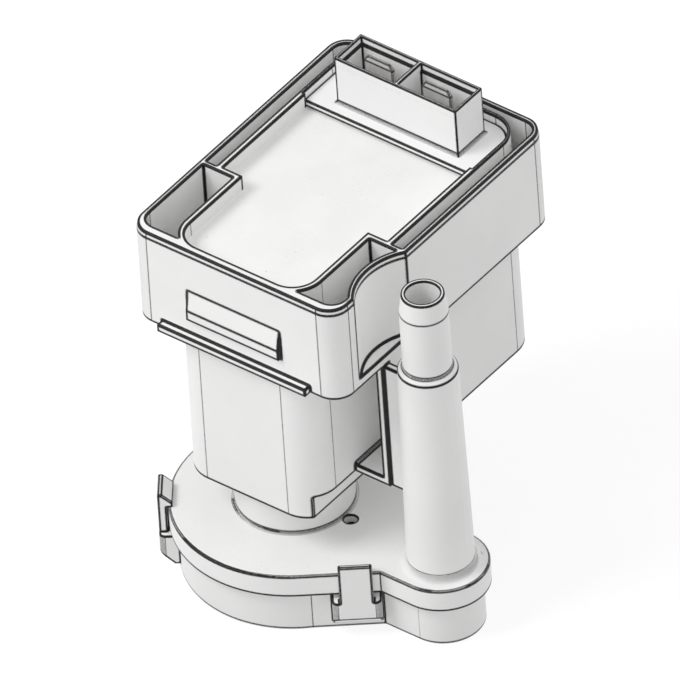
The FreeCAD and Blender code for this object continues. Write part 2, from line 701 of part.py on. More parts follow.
def build_stator_housing(case_inside):
    """The case, its collar, the blind sleeve over the rotor can, the latch and the bracket."""
    nose, coils = motor_case_outline(
        "case_lower", ZERO, dims.coil_bottom, dims.coil_bottom, collar_bottom + OVERLAP,
    )
    keel = keel_prism("case_keel", ZERO)
    front = -dims.collar_front
    latch = side_prism(
        "latch_ramp",
        [
            (front + OVERLAP, rim - dims.latch_start + OVERLAP),
            (front, rim - dims.latch_start),
            (front - dims.latch_reach, rim - dims.latch_full),
            (front - dims.latch_reach, rim - dims.latch_foot),
            (front + OVERLAP, rim - dims.latch_foot),
        ],
        dims.latch_width,
    )
    ledge = side_prism(
        "ledge_bar",
        [
            (front + OVERLAP, collar_bottom),
            (front + OVERLAP, collar_bottom + dims.ledge_section),
            (front - dims.ledge_section, collar_bottom + dims.ledge_section),
            (front - dims.ledge_section, collar_bottom),
        ],
        dims.ledge_width,
    )
    shell = fuse("housing_shell", build_collar(), nose, coils, keel, latch, ledge, build_bracket())
    rebate_half = coil_half - dims.rebate_wall
    rebate = upright_prism(
        "connector_rebate",
        box_corners(
            -rebate_half, rebate_half, dims.rebate_start, dims.case_back - dims.rebate_wall,
            back=dims.plate_corner,
        ),
        plate_bottom, rim + OVERLAP,
    )
    hollow_shell = cut("housing_open", shell, case_inside, rebate)
    sleeve = disc("sleeve", sleeve_radius, dims.nose_bottom, sleeve_ceiling + dims.sleeve_wall)
    sleeve_room = disc("sleeve_room", sleeve_bore, dims.nose_bottom - OVERLAP, sleeve_ceiling)
    return cut("stator_housing", fuse("housing_with_sleeve", hollow_shell, sleeve), sleeve_room)


def build_core(case_inside):
    """The laminated iron: a pole ring round the sleeve and two legs, closed by a yoke."""
    edge = nose_half - dims.case_wall - dims.core_gap
    front = dims.case_front - dims.case_wall - dims.core_gap
    inner = dims.leg_centre - dims.leg_width / 2
    outer = dims.leg_centre + dims.leg_width / 2
    shoulder = dims.coil_start + dims.case_wall
    outline = upright_prism(
        "core_outline",
        [
            (-edge, -front, dims.case_corner - dims.case_wall),
            (edge, -front, dims.case_corner - dims.case_wall),
            (edge, shoulder),
            (outer, shoulder),
            (outer, dims.leg_end),
            (inner, dims.leg_end),
            (inner, dims.pole_back),
            (-inner, dims.pole_back),
            (-inner, dims.leg_end),
            (-outer, dims.leg_end),
            (-outer, shoulder),
            (-edge, shoulder),
        ],
        core_bottom, core_top,
    )
    bore = disc("core_bore", sleeve_radius + dims.bore_gap, core_bottom - OVERLAP, core_top + OVERLAP)
    core = cut("stator_core", outline, bore)
    yoke = upright_prism(
        "core_yoke",
        box_corners(-outer, outer, dims.leg_end, dims.leg_end + dims.yoke_depth, back=dims.yoke_corner),
        core_bottom, core_top,
    )
    return core, yoke


def build_coil(side, sign):
    """A bobbin round one leg of the iron, and the wire on it."""
    centre = dims.leg_centre * sign
    half_leg = dims.leg_width / 2 + dims.bobbin_gap
    half_stack = dims.core_stack / 2 + dims.bobbin_gap
    half_tube = half_leg + dims.bobbin_wall
    half_rise = half_stack + dims.bobbin_wall
    start = dims.bobbin_start
    end = dims.bobbin_end
    middle = dims.core_middle

    def slab(name, half_x, half_z, low_y, high_y):
        """A block round the leg."""
        return block(
            f"{name}_{side}", centre - half_x, centre + half_x, low_y, high_y,
            middle - half_z, middle + half_z,
        )

    tube = slab("bobbin_tube", half_tube, half_rise, start, end)
    flange_half = dims.flange_width / 2
    flange_reach = half_rise + dims.flange_rise
    front_flange = slab("bobbin_front", flange_half, flange_reach, start, start + dims.flange_thickness)
    back_flange = slab("bobbin_back", flange_half, flange_reach, end - dims.flange_thickness, end)
    leg_room = slab("bobbin_bore", half_leg, half_stack, start - OVERLAP, end + OVERLAP)
    whole = fuse(f"bobbin_whole_{side}", tube, front_flange, back_flange)
    bobbin = cut(f"coil_bobbin_{side}", whole, leg_room)
    sketch = doc.addObject("Sketcher::SketchObject", f"winding_outline_{side}")
    place(sketch, y=end - dims.flange_thickness, turn=UPRIGHT)
    wire_half = half_tube + dims.winding_side
    wire_reach = half_rise + dims.winding_rise
    draw_loop(sketch, box_corners(
        centre - wire_half, centre + wire_half, middle - wire_reach, middle + wire_reach,
        front=dims.winding_corner, back=dims.winding_corner,
    ))
    wire = finish_extrusion(
        f"winding_outer_{side}", sketch, end - start - dims.flange_thickness * 2,
    )
    wire_room = slab("winding_bore", half_tube, half_rise, start, end)
    winding = cut(f"winding_{side}", wire, wire_room)
    return bobbin, winding


def build_tab(side, sign):
    """A flat terminal tab with a pointed top and a hole, standing in its chamber."""
    centre = dims.tab_pitch / 2 * sign
    half = dims.tab_width / 2
    top = plate_top + dims.socket_height
    waist = half - dims.tab_shoulder
    root = plate_bottom - dims.tab_tail
    sketch = doc.addObject("Sketcher::SketchObject", f"tab_outline_{side}")
    place(sketch, y=dims.socket_centre, turn=UPRIGHT)
    draw_loop(sketch, [
        (centre - waist, root),
        (centre + waist, root),
        (centre + waist, plate_bottom),
        (centre + half, plate_bottom),
        (centre + half, top - dims.tab_nose),
        (centre + half - dims.tab_point, top),
        (centre - half + dims.tab_point, top),
        (centre - half, top - dims.tab_nose),
        (centre - half, plate_bottom),
        (centre - waist, plate_bottom),
    ])
    draw_circle(sketch, centre, top - dims.tab_hole_drop, dims.tab_hole / 2)
    return finish_extrusion(f"terminal_tab_{side}", sketch, dims.tab_thickness, centred=True)


def build_connector():
    """The plate in the case's rebate with a two-chamber socket on it."""
    half = coil_half - dims.rebate_wall - dims.plate_gap
    back = dims.case_back - dims.rebate_wall - dims.plate_gap
    plate = upright_prism(
        "connector_plate",
        box_corners(-half, half, dims.plate_front, back, back=dims.plate_corner),
        plate_bottom, plate_top,
    )
    socket_half = dims.socket_width / 2
    socket_reach = dims.socket_depth / 2
    mouth = plate_top + dims.socket_height
    tower = block(
        "socket_tower", -socket_half, socket_half,
        dims.socket_centre - socket_reach, dims.socket_centre + socket_reach,
        plate_bottom, mouth,
    )
    rooms = []
    for side, sign in (("left", -1), ("right", 1)):
        outer = socket_half - dims.socket_wall
        inner = dims.socket_wall / 2
        reach = socket_reach - dims.socket_wall
        for level, widening, label in (
            (plate_top, ZERO, "room"),
            (mouth - dims.socket_lead_depth, dims.socket_lead, "mouth"),
        ):
            near = inner * sign
            far = (outer + widening) * sign
            low_x, high_x = (far, near) if sign < 0 else (near, far)
            rooms.append(block(
                f"socket_{label}_{side}", low_x, high_x,
                dims.socket_centre - reach - widening, dims.socket_centre + reach + widening,
                level, mouth + OVERLAP,
            ))
        centre = dims.tab_pitch / 2 * sign
        half_tab = dims.tab_width / 2
        rooms.append(block(
            f"tab_slot_{side}", centre - half_tab, centre + half_tab,
            dims.socket_centre - dims.tab_thickness / 2, dims.socket_centre + dims.tab_thickness / 2,
            plate_bottom - OVERLAP, plate_top + OVERLAP,
        ))
    foot = round_edges(
        "connector_footed", fuse("connector_whole", plate, tower),
        lambda edge: lies_at(edge, plate_top) and edge.BoundBox.XMax < socket_half.number + BESIDE
        and edge.BoundBox.XMin > -socket_half.number - BESIDE
        and edge.BoundBox.YMin > (dims.socket_centre - socket_reach).number - BESIDE,
        dims.socket_fillet,
    )
    return cut("connector_housing", foot, *rooms)


def build_lead(side, sign):
    """The wire from a winding up to its tab."""
    x = dims.tab_pitch / 2 * sign
    y = dims.bobbin_end - dims.flange_thickness - dims.wire_thickness
    low = core_top + dims.bobbin_gap + dims.bobbin_wall + dims.winding_rise
    high = plate_bottom - dims.tab_tail + dims.lead_rise
    radius = dims.wire_thickness / 2
    rise = disc(f"lead_rise_{side}", radius, low, high, x=x, y=y)
    run = doc.addObject("Part::Cylinder", f"lead_run_{side}")
    bind(run, "Radius", radius)
    bind(run, "Height", dims.socket_centre - dims.tab_thickness / 2 - y)
    place(run, x=x, y=y, z=high, turn=Rotation(Vector(1, 0, 0), -90))
    elbow = doc.addObject("Part::Sphere", f"lead_elbow_{side}")
    bind(elbow, "Radius", radius)
    place(elbow, x=x, y=y, z=high)
    return fuse(f"coil_lead_{side}", rise, run, elbow)


def build_potting(case_inside, buried):
    """The resin that fills the case up to just below the rim, round all that is buried in it."""
    below = block(
        "potting_block", -collar_half, collar_half, -dims.collar_front, dims.collar_back,
        dims.nose_bottom, potting_top,
    )
    filled = doc.addObject("Part::Common", "potting_room")
    filled.Base = case_inside
    filled.Tool = below
    sleeve_top = sleeve_ceiling + dims.sleeve_wall
    sleeve = disc("sleeve_in_potting", sleeve_radius, dims.nose_bottom, sleeve_top)
    return cut("potting_fill", filled, sleeve, *buried)


def build_pump_head():
    """The cover, the neck with the rotor can, and the outlet pipe: one moulding."""
    slab = pump_outline("cover_slab", ZERO, dims.cover_bottom, dims.cover_top)
    rounded = round_edges(
        "cover_rounded", slab, lambda edge: lies_at(edge, dims.cover_top), dims.cover_round,
    )
    skirt_foot = dims.cover_bottom - OVERLAP
    skirt_wall = dims.bowl_inset - dims.bowl_gap
    skirt_room = pump_outline("skirt_room", skirt_wall, skirt_foot, cover_ceiling)
    plate_middle = dims.cover_top - dims.cover_plate / 2
    neck_foot = dims.neck_radius + dims.neck_round * 2
    neck = spun("neck_and_can", [
        (ZERO, plate_middle),
        (neck_foot, plate_middle),
        (neck_foot, dims.cover_top),
        (dims.neck_radius, dims.cover_top, dims.neck_round),
        (dims.neck_radius, dims.nose_bottom),
        (can_radius, dims.nose_bottom),
        (can_radius, can_top, dims.neck_round),
        (ZERO, can_top),
    ])
    rotor_room = spun("rotor_room", [
        (ZERO, cover_ceiling - OVERLAP),
        (neck_bore, cover_ceiling - OVERLAP),
        (neck_bore, carrier_top + dims.end_gap),
        (can_bore, carrier_top + dims.end_gap),
        (can_bore, can_ceiling),
        (dims.seat_radius, can_ceiling),
        (dims.seat_radius, seat_top),
        (ZERO, seat_top),
    ])
    pipe_spread = dims.pipe_base + dims.pipe_foot + OVERLAP
    slope_top = dims.shoulder_level + dims.pipe_shoulder - dims.spigot_radius
    pipe = spun("outlet_pipe", [
        (ZERO, plate_middle),
        (pipe_spread, plate_middle),
        (pipe_spread, dims.cover_top),
        (dims.pipe_base, dims.cover_top, dims.pipe_foot),
        (dims.pipe_shoulder, dims.shoulder_level),
        (dims.spigot_radius, slope_top, dims.shoulder_fillet),
        (dims.spigot_radius, dims.spigot_edge),
        (dims.spigot_tip_radius, dims.spigot_tip),
        (ZERO, dims.spigot_tip),
    ], x=dims.outlet_offset)
    bore = disc(
        "outlet_passage", dims.outlet_bore, cover_ceiling - OVERLAP, dims.spigot_tip + OVERLAP,
        x=dims.outlet_offset,
    )
    vent = disc(
        "vent_hole", dims.vent_radius, cover_ceiling - OVERLAP, dims.cover_top + OVERLAP,
        x=dims.vent_offset,
    )
    whole = fuse("pump_head_whole", cut("cover_shell", rounded, skirt_room), neck, pipe)
    return cut("pump_head", whole, rotor_room, bore, vent)


def build_gasket():
    """The flat gasket between the bowl's rim and the cover."""
    outer = pump_outline("gasket_outer", dims.bowl_inset + dims.gasket_gap, bowl_rim, cover_ceiling)
    inner = pump_outline(
        "gasket_inner", dims.bowl_inset + dims.bowl_wall, bowl_rim - OVERLAP, cover_ceiling + OVERLAP,
    )
    return cut("cover_gasket", outer, inner)


def build_clip(name, angle, shift):
    """A boss on the bowl's wall and a strap that rises from it and hooks over the cover."""
    root = dims.cover_radius - dims.bowl_inset - dims.bowl_wall / 2
    face = dims.cover_radius + dims.clip_proud
    inside = face - dims.clip_thickness
    nose = face - dims.hook_reach
    catch = dims.cover_top + dims.clip_gap
    bevel_foot = catch + dims.hook_nose
    boss_half = dims.boss_width / 2
    boss_side = [
        (root, dims.boss_bottom),
        (face - dims.boss_bevel, dims.boss_bottom),
        (face, dims.boss_edge),
        (face, dims.boss_top),
        (root, dims.boss_top),
    ]
    boss_plan = [
        (root, -boss_half),
        (face, -boss_half, dims.boss_round),
        (face, boss_half, dims.boss_round),
        (root, boss_half),
    ]
    strap_side = [
        (inside, dims.boss_top - OVERLAP),
        (face, dims.boss_top - OVERLAP),
        (face, dims.clip_top),
        (face - dims.clip_crown, dims.clip_top),
        (nose, bevel_foot),
        (nose, catch),
        (inside, catch),
    ]
    strap = facing_prism(f"{name}_strap", strap_side, dims.clip_width)
    strap_half = dims.clip_width.number / 2

    def outer_edge(edge):
        """Whether an edge of the strap bounds its outer face, its top or its slope."""
        box = edge.BoundBox
        at_foot = box.ZMax < dims.boss_top.number
        on_face = box.XMin > face.number - TOUCH
        on_side = box.YLength < TOUCH and abs(abs(box.YMin) - strap_half) < TOUCH
        over_nose = box.ZMin > bevel_foot.number - TOUCH and box.XLength > TOUCH
        return not at_foot and (on_face or (on_side and over_nose))

    rounded = round_edges(f"{name}_rounded", strap, outer_edge, dims.clip_round)
    boss = doc.addObject("Part::Common", f"{name}_boss")
    boss.Base = facing_prism(f"{name}_boss_side", boss_side, dims.boss_width)
    boss.Tool = upright_prism(f"{name}_boss_plan", boss_plan, ZERO, dims.boss_top)
    whole = fuse(name, boss, rounded)
    turn = Rotation(Vector(0, 0, 1), angle.number)
    place(whole, x=-(shift * sine(angle)), y=shift * cosine(angle), turn=turn)
    bind(whole, "Placement.Rotation.Angle", angle)
    return whole


def build_bowl():
    """The bowl: inlet, impeller chamber, duct to the outlet, and three clips."""
    flat_inset = dims.bowl_flat_inset
    slab = pump_outline("bowl_slab", dims.bowl_inset, ZERO, bowl_rim, flat_inset)
    rounded = round_edges("bowl_rounded", slab, lambda edge: lies_at(edge, ZERO), dims.bowl_round)
    inside = dims.bowl_inset + dims.bowl_wall
    room = pump_outline("bowl_room", inside, dims.bowl_floor, bowl_rim + OVERLAP, flat_inset)
    inlet = disc("inlet", dims.inlet_radius, -OVERLAP, dims.bowl_floor + OVERLAP)
    clips = [
        build_clip("clip_front", -dims.flat_angle, dims.front_clip_shift),
        build_clip("clip_left", dims.left_clip_angle, ZERO),
        build_clip("clip_back", dims.back_clip_angle, ZERO),
    ]
    shell = cut("bowl_shell", fuse("bowl_with_clips", rounded, *clips), room, inlet)
    low = dims.bowl_floor / 2
    high = bowl_rim - dims.chamber_gap
    ring = cut(
        "chamber_ring",
        disc("chamber_outer", dims.chamber_radius + dims.chamber_wall, low, high),
        disc("chamber_inner", dims.chamber_radius, low - OVERLAP, high + OVERLAP),
    )
    duct_half = dims.duct_width / 2
    duct = block(
        "duct_room", ZERO, dims.duct_length + OVERLAP, -duct_half, duct_half,
        low - OVERLAP, high + OVERLAP,
    )
    walls = []
    for label, sign in (("front", -1), ("back", 1)):
        near = duct_half * sign
        far = (duct_half + dims.chamber_wall) * sign
        low_y, high_y = (far, near) if sign < 0 else (near, far)
        walls.append(block(
            f"duct_wall_{label}", dims.chamber_radius - dims.chamber_wall / 2, dims.duct_length,
            low_y, high_y, low, high,
        ))
    volute = cut("volute", fuse("volute_walls", ring, *walls), duct)
    return fuse("pump_bowl", shell, volute)


def turned_body(name, corners):
    """A turned piece: its half section (radius, level) is revolved about the rotor axis."""
    body = doc.addObject("PartDesign::Body", name)
    sketch = body.newObject("Sketcher::SketchObject", f"{name}_section")
    sketch.AttachmentSupport = [(origin_plane(body, "XZ_Plane"), "")]
    sketch.MapMode = "FlatFace"
    draw_loop(sketch, corners)
    solid = body.newObject("PartDesign::Revolution", f"{name}_turned")
    solid.Profile = sketch
    solid.ReferenceAxis = (sketch, ["V_Axis"])
    solid.Angle = 360
    body.Tip = solid
    return body


def origin_plane(body, role):
    """One of a body's own origin planes."""
    return next(feature for feature in body.Origin.OriginFeatures if feature.Role == role)


def sketch_at(body, name, level):
    """A flat sketch in a body at a level."""
    sketch = body.newObject("Sketcher::SketchObject", name)
    sketch.AttachmentSupport = [(origin_plane(body, "XY_Plane"), "")]
    sketch.MapMode = "FlatFace"
    sketch.AttachmentOffset = Placement(Vector(0, 0, level.number), Rotation())
    bind(sketch, "AttachmentOffset.Base.z", level)
    return sketch


def ring_section(inner, outer, low, high):
    """The half section of a plain ring."""
    return [(inner, low), (outer, low), (outer, high), (inner, high)]


def build_shaft():
    """The steel shaft, chamfered at both ends and grooved for its clip."""
    r = dims.shaft_radius
    foot = clip_ring_bottom - dims.shaft_tail
    head = seat_top - dims.head_gap
    bevel = dims.shaft_chamfer
    groove = r - dims.ring_clip_groove
    return turned_body("rotor_shaft", [
        (ZERO, foot),
        (r - bevel, foot),
        (r, foot + bevel),
        (r, clip_ring_bottom),
        (groove, clip_ring_bottom),
        (groove, clip_ring_top),
        (r, clip_ring_top),
        (r, head - bevel),
        (r - bevel, head),
        (ZERO, head),
    ])


def build_rotor():
    """The pieces that turn with the shaft."""
    bottom = magnet_bottom
    flange = dims.hub_flange_thickness
    magnet = turned_body("rotor_magnet", ring_section(
        dims.hub_radius, magnet_radius, bottom, magnet_top,
    ))
    hub = turned_body("rotor_hub", [
        (dims.shaft_radius, bottom - flange),
        (dims.hub_flange, bottom - flange),
        (dims.hub_flange, bottom),
        (dims.hub_radius, bottom),
        (dims.hub_radius, magnet_top),
        (dims.hub_flange, magnet_top),
        (dims.hub_flange, magnet_top + flange),
        (dims.shaft_radius, magnet_top + flange),
    ])
    upper_washer = turned_body("thrust_washer_upper", ring_section(
        dims.shaft_radius, dims.washer_radius, washer_foot, washer_foot + dims.washer_thickness,
    ))
    lower_top = carrier_bottom - dims.end_gap
    lower_washer = turned_body("thrust_washer_lower", ring_section(
        dims.shaft_radius, dims.washer_radius, lower_top - dims.washer_thickness, lower_top,
    ))
    clip = turned_body("impeller_clip", ring_section(
        dims.shaft_radius - dims.ring_clip_groove, dims.ring_clip_radius,
        clip_ring_bottom, clip_ring_top,
    ))
    return magnet, hub, upper_washer, lower_washer, clip


def build_drive_dog():
    """The dog on the shaft: a hub with one finger that turns freely between the cup's stop faces."""
    low = cup_floor + dims.end_gap
    high = carrier_bottom - dims.end_gap - dims.washer_thickness
    body = turned_body("drive_dog", ring_section(dims.shaft_radius, dims.dog_hub, low, high))
    sketch = sketch_at(body, "dog_finger_outline", low)
    half = dims.dog_width / 2
    reach = dims.cup_bore - dims.dog_gap
    draw_loop(sketch, box_corners(-half, half, dims.dog_hub - OVERLAP, reach))
    finger = body.newObject("PartDesign::Pad", "dog_finger")
    finger.Profile = sketch
    bind(finger, "Length", dims.cup_depth - dims.end_gap * 2)
    body.Tip = finger
    return body


def build_impeller():
    """The impeller: straight blades that pump the same way round or back, under a cup with a stop."""
    bore = dims.shaft_radius + dims.running_gap
    body = turned_body("impeller", [
        (bore, dims.impeller_bottom),
        (dims.impeller_hub, dims.impeller_bottom),
        (dims.impeller_hub, blades_top),
        (dims.disc_radius, blades_top),
        (dims.disc_radius, cup_floor),
        (dims.cup_radius, cup_floor),
        (dims.cup_radius, cup_top),
        (dims.cup_bore, cup_top),
        (dims.cup_bore, cup_floor),
        (bore, cup_floor),
    ])
    half = dims.blade_thickness / 2
    sketch = sketch_at(body, "blade_outline", dims.impeller_bottom)
    tip = dims.chamber_radius - dims.tip_gap
    draw_loop(sketch, box_corners(dims.impeller_hub - OVERLAP, tip, -half, half))
    blade = body.newObject("PartDesign::Pad", "blade")
    blade.Profile = sketch
    bind(blade, "Length", dims.blade_height + dims.disc_thickness)
    body.Tip = blade
    doc.recompute()
    around = body.newObject("PartDesign::PolarPattern", "blades")
    around.Originals = [blade]
    around.Axis = (sketch, ["N_Axis"])
    around.Angle = 360
    bind(around, "Occurrences", dims.blade_count)
    body.Tip = around
    doc.recompute()
    stop_half = dims.stop_width / 2
    stop_sketch = sketch_at(body, "stop_outline", cup_floor)
    stop_near = dims.dog_hub + dims.dog_gap
    draw_loop(stop_sketch, box_corners(
        -stop_half, stop_half, -(dims.cup_bore + OVERLAP), -stop_near,
    ))
    stop = body.newObject("PartDesign::Pad", "stop")
    stop.Profile = stop_sketch
    bind(stop, "Length", dims.cup_depth)
    body.Tip = stop
    return body


def build_bearings():
    """The two plain bearings, the rubber seat of the upper one and the carrier of the lower one."""
    bore = dims.shaft_radius + dims.running_gap
    upper_foot = seat_top - dims.bearing_length
    upper = turned_body("upper_bearing", ring_section(bore, dims.bearing_radius, upper_foot, seat_top))
    mount = turned_body("upper_bearing_mount", ring_section(
        dims.bearing_radius, dims.seat_radius, can_ceiling, seat_top,
    ))
    low = carrier_bottom
    top = carrier_top
    lower = turned_body("lower_bearing", ring_section(
        bore, dims.bearing_radius, low, low + dims.bearing_length,
    ))
    ring_middle = low + dims.carrier_thickness / 2
    ring_half = dims.ring_section / 2
    groove_half = ring_half + dims.ring_gap
    groove_reach = neck_bore - dims.ring_section - dims.ring_gap * 2
    carrier = turned_body("bearing_carrier", [
        (dims.bearing_radius, low),
        (neck_bore, low),
        (neck_bore, ring_middle - groove_half),
        (groove_reach, ring_middle - groove_half),
        (groove_reach, ring_middle + groove_half),
        (neck_bore, ring_middle + groove_half),
        (neck_bore, top),
        (dims.carrier_rim, top),
        (dims.carrier_rim, top - dims.carrier_recess),
        (dims.carrier_boss, top - dims.carrier_recess),
        (dims.carrier_boss, top),
        (dims.bearing_radius, top),
    ])
    ring_near = groove_reach + dims.ring_gap
    ring_far = neck_bore - dims.ring_gap
    ring = turned_body("carrier_seal", [
        (ring_near, ring_middle - ring_half, dims.ring_round),
        (ring_far, ring_middle - ring_half, dims.ring_round),
        (ring_far, ring_middle + ring_half, dims.ring_round),
        (ring_near, ring_middle + ring_half, dims.ring_round),
    ])
    return upper, mount, lower, carrier, ring


def check(objects):
    """Stop if any object failed, or any piece is missing or not a valid solid."""
    for thing in doc.Objects:
        if "Invalid" in thing.State or "Error" in thing.State:
            raise RuntimeError(f"{thing.Name}: {thing.State}")
    for piece in objects:
        if piece.Shape.isNull() or not piece.Shape.isValid() or not piece.Shape.Solids:
            raise RuntimeError(f"{piece.Label}: no valid solid")


def build_pump():
    """Every piece of the pump, in the order it is put together."""
    room = build_case_inside()
    core, yoke = build_core(room)
    pieces = [build_stator_housing(room), core, yoke]
    for side, sign in (("left", -1), ("right", 1)):
        pieces += build_coil(side, sign)
        pieces.append(build_tab(side, sign))
        pieces.append(build_lead(side, sign))
    buried = pieces[1:]
    pieces.append(build_potting(room, buried))
    pieces.append(build_connector())
    pieces.append(build_pump_head())
    pieces.append(build_gasket())
    pieces.append(build_bowl())
    pieces += build_bearings()
    pieces.append(build_shaft())
    pieces += build_rotor()
    pieces.append(build_drive_dog())
    pieces.append(build_impeller())
    return pieces


parts = build_pump()
doc.recompute()
check(parts)
os.makedirs("parts", exist_ok=True)
for part in parts:
    part.Shape.exportStep(f"parts/{part.Label}.step")
    print(f"{part.Label}: {part.Shape.Volume:.1f} mm3, {len(part.Shape.Solids)} solid(s)")
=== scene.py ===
"""The looks of a condensate pump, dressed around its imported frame.

Metres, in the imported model's frame: X to the right across the short side of the collar, Y to the
back, Z up, with the rotor's axis through the origin and the bowl standing on Z = 0.
"""

import logging
import math
from collections.abc import Callable, Iterator
from contextlib import contextmanager
from dataclasses import dataclass
from enum import Enum
from typing import NamedTuple

import bmesh
import bpy
from mathutils import Matrix, Vector


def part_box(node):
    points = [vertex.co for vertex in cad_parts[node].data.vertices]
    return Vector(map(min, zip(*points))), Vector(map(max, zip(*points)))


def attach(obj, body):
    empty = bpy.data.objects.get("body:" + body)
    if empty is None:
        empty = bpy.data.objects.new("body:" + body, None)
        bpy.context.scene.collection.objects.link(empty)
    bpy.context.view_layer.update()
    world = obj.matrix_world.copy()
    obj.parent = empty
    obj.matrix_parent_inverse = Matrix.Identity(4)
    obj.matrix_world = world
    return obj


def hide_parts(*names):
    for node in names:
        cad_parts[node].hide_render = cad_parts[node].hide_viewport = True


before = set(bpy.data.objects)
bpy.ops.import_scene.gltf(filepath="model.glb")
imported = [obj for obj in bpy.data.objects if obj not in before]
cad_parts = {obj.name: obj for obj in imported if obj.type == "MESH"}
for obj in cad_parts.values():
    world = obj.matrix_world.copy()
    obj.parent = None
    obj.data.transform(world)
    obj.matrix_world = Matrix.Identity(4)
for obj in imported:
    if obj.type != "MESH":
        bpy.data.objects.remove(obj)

LOG = logging.getLogger("condensate_pump")
MM = 0.001
WELD = 2e-6
LEVEL_NORMAL = 0.99
SHARP_ANGLE = 35.0
NOISE_SPAN = (0.3, 0.7)
PICTURE_WIDTH = 680
PIXELS_PER_MM = 5.8

Colour = tuple[float, float, float]
Point = tuple[float, float, float]
Span = tuple[float, float]
Face = bmesh.types.BMFace
Edge = bmesh.types.BMEdge
Piece = bpy.types.Object
Material = bpy.types.Material
Tree = bpy.types.NodeTree
Node = bpy.types.Node
Socket = bpy.types.NodeSocket


# Modelling


def deselect_everything() -> None:
    """Clears the selection, because the frame's nodes arrive selected."""
    for thing in list(bpy.context.selected_objects):
        thing.select_set(False)


def pick(thing: Piece) -> None:
    """Makes one object the only selected one, and the active one.

    Args:
        thing: The object that the next operators act on.
    """
    deselect_everything()
    thing.select_set(True)
    bpy.context.view_layer.objects.active = thing


@contextmanager
def editing(thing: Piece) -> Iterator[None]:
    """Keeps one object in edit mode for the length of a with block.

    Args:
        thing: The mesh object to edit.
    """
    pick(thing)
    bpy.ops.object.mode_set(mode="EDIT")
    bpy.ops.mesh.select_mode(type="FACE")
    yield
    bpy.ops.object.mode_set(mode="OBJECT")


def select(kind: str, wanted: Callable[[Face], bool] | Callable[[Edge], bool]) -> None:
    """Selects the faces or edges of the edited mesh that pass a test, and nothing else.

    Args:
        kind: FACE or EDGE.
        wanted: Tells whether a face or an edge is to be selected.
    """
    bpy.ops.mesh.select_all(action="DESELECT")
    bpy.ops.mesh.select_mode(type=kind)
    mesh = bpy.context.edit_object.data
    form = bmesh.from_edit_mesh(mesh)
    for part in form.faces if kind == "FACE" else form.edges:
        part.select_set(wanted(part))
    bmesh.update_edit_mesh(mesh)


def faces_up(face: Face) -> bool:
    """Tells whether a face points straight up."""
    return face.normal.z > LEVEL_NORMAL


def faces_down(face: Face) -> bool:
    """Tells whether a face points straight down."""
    return face.normal.z < -LEVEL_NORMAL


def runs_upright(edge: Edge) -> bool:
    """Tells whether an edge runs straight up."""
    low, high = (corner.co for corner in edge.verts)
    return (high.xy - low.xy).length < WELD


def extrude(up: float) -> None:
    """Pulls the selected faces straight up, or down where the distance is negative.

    Args:
        up: Distance along Z.
    """
    bpy.ops.mesh.extrude_region_move(TRANSFORM_OT_translate={"value": (0.0, 0.0, up)})


def run_modifier(thing: Piece, kind: str, **settings: object) -> None:
    """Adds a modifier with its settings and applies it.

    Args:
        thing: The object that takes the modifier.
        kind: The modifier's type.
        **settings: Values of the modifier's properties.
    """
    pick(thing)
    modifier = thing.modifiers.new(kind.lower(), kind)
    for name, value in settings.items():
        setattr(modifier, name, value)
    bpy.ops.object.modifier_apply(modifier=modifier.name)


def soften(thing: Piece, width: float, segments: int = 2) -> None:
    """Rounds every sharp edge of a piece a little.

    Args:
        thing: The piece.
        width: Width of the rounding.
        segments: Number of faces across it.
    """
    run_modifier(
        thing, "BEVEL", width=width, segments=segments, limit_method="ANGLE",
        angle_limit=math.radians(SHARP_ANGLE), harden_normals=False,
    )


def settle(thing: Piece, smooth_angle: float = 32.0, outward: bool = True) -> None:
    """Puts a piece's place into its mesh, merges doubles and smooths its gentle edges.

    Args:
        thing: The piece.
        smooth_angle: Edges flatter than this many degrees are smoothed.
        outward: Whether the faces are turned outwards again.
    """
    pick(thing)
    bpy.ops.object.transform_apply(location=True, rotation=True, scale=True)
    with editing(thing):
        bpy.ops.mesh.select_all(action="SELECT")
        bpy.ops.mesh.remove_doubles(threshold=WELD)
        if outward:
            bpy.ops.mesh.normals_make_consistent(inside=False)
    pick(thing)
    bpy.ops.object.shade_smooth_by_angle(angle=math.radians(smooth_angle))


def copy_piece(thing: Piece, name: str, move: Point) -> Piece:
    """Copies a piece with a mesh of its own and moves that mesh.

    Args:
        thing: The piece to copy.
        name: Name of the copy.
        move: How far the copy stands from the first one.

    Returns:
        The copy.
    """
    twin = thing.copy()
    twin.data = thing.data.copy()
    twin.name = name
    bpy.context.scene.collection.objects.link(twin)
    twin.data.transform(Matrix.Translation(Vector(move)))
    return twin


def copy_of_node(node: str, name: str) -> Piece:
    """Makes a free piece from a copy of a frame node's mesh, with its loose triangles merged.

    Args:
        node: The frame node to start from.
        name: Name of the new piece.

    Returns:
        The new piece, which rides on nothing yet.
    """
    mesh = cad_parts[node].data.copy()
    mesh.materials.clear()
    piece = bpy.data.objects.new(name, mesh)
    bpy.context.scene.collection.objects.link(piece)
    with editing(piece):
        bpy.ops.mesh.select_all(action="SELECT")
        bpy.ops.mesh.customdata_custom_splitnormals_clear()
        bpy.ops.mesh.remove_doubles(threshold=WELD)
    return piece


# Shader groups


SOCKETS = {"value": "NodeSocketFloat", "colour": "NodeSocketColor", "vector": "NodeSocketVector"}


def add_node(tree: Tree, kind: str, **settings: object) -> Node:
    """Adds a node and sets its properties.

    Args:
        tree: The tree that takes the node.
        kind: The node's type.
        **settings: Values of the node's properties.

    Returns:
        The new node.
    """
    node = tree.nodes.new(kind)
    for name, value in settings.items():
        setattr(node, name, value)
    return node


